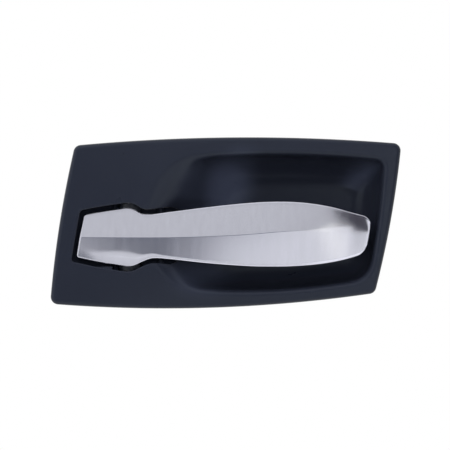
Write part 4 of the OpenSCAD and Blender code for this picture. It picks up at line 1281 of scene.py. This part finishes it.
    def spot(self, name, target, heading, half, turn, power):
        """Soft oval spot: its target and half its width and height in mm, and its tilt in degrees."""
        reach, lamp_radius = 0.5, 4 * MM
        data = bpy.data.lights.new(name, "SPOT")
        data.energy, data.spot_blend, data.shadow_soft_size = power, 1, lamp_radius
        data.spot_size = 2 * math.atan(half[1] * MM / reach)
        spot = bpy.data.objects.new(name, data)
        spot.visible_glossy = False
        spot.rotation_mode = "QUATERNION"
        spot.location, straight = self.facing(Vector(target) * MM, heading, reach)
        spot.rotation_quaternion = straight @ Quaternion((0, 0, 1), math.radians(turn))
        spot.scale.x = half[0] / half[1]
        bpy.context.scene.collection.objects.link(spot)

    @staticmethod
    def card(name, distance, across, up, tone, tint):
        """Glowing card before the handle that only glossy surfaces show."""
        corners = [(across[i], -distance, up[j]) for i, j in ((0, 0), (1, 0), (1, 1), (0, 1))]
        card = new_piece(name.replace(" ", "_"), np.array(corners) * MM, [(0, 1, 2, 3)])
        card.visible_camera = card.visible_diffuse = card.visible_shadow = False
        material = bpy.data.materials.new(name)
        material.use_nodes = True
        tree = material.node_tree
        tree.nodes.remove(tree.nodes["Principled BSDF"])
        glow = add(tree, "ShaderNodeEmission", Color=(*tint, 1), Strength=tone)
        tree.links.new(glow.outputs["Emission"], tree.nodes["Material Output"].inputs["Surface"])
        card.data.materials.append(material)


# Panel and start


class HandleSettings(bpy.types.PropertyGroup):
    """All settings of the door handle"""

    plate: PointerProperty(type=PlateSizes, name="Plate", description=PlateSizes.__doc__)
    lever: PointerProperty(type=LeverSizes, name="Lever", description=LeverSizes.__doc__)
    spring: PointerProperty(type=SpringSizes, name="Spring", description=SpringSizes.__doc__)
    finish: PointerProperty(type=Finishes, name="Finish", description=Finishes.__doc__)
    stage: PointerProperty(type=StageSizes, name="Stage", description=StageSizes.__doc__)


STEPS = (
    HANDLE_OT_trim_plate,
    HANDLE_OT_lever_cover,
    HANDLE_OT_return_spring,
    HANDLE_OT_working_parts,
    HANDLE_OT_stage,
)


class HANDLE_PT_panel(bpy.types.Panel):
    """Lists the pieces of the door handle"""

    bl_label = "Door handle"
    bl_space_type = "VIEW_3D"
    bl_region_type = "UI"
    bl_category = "Door handle"

    def draw(self, context):
        for step in STEPS:
            self.layout.operator(step.bl_idname)
        for group in ("plate", "lever", "spring", "finish", "stage"):
            box = self.layout.box()
            box.label(text=group.capitalize())
            settings = getattr(handle(), group)
            for name in settings.__annotations__:
                box.prop(settings, name)


SETTINGS = (PlateSizes, LeverSizes, SpringSizes, Finishes, StageSizes, HandleSettings)
CLASSES = (*SETTINGS, *STEPS, HANDLE_PT_panel)


def register():
    """Registers the classes, and the settings in the scene."""
    for kind in CLASSES:
        bpy.utils.register_class(kind)
    bpy.types.Scene.door_handle = PointerProperty(type=HandleSettings)


def unregister():
    """Removes the settings and the classes."""
    del bpy.types.Scene.door_handle
    for kind in reversed(CLASSES):
        bpy.utils.unregister_class(kind)


def main():
    """Builds the handle and its stage."""
    register()
    bpy.ops.handle.trim_plate()
    bpy.ops.handle.lever_cover()
    bpy.ops.handle.return_spring()
    bpy.ops.handle.working_parts()
    bpy.ops.handle.stage()


if __name__ == "__main__":
    main()
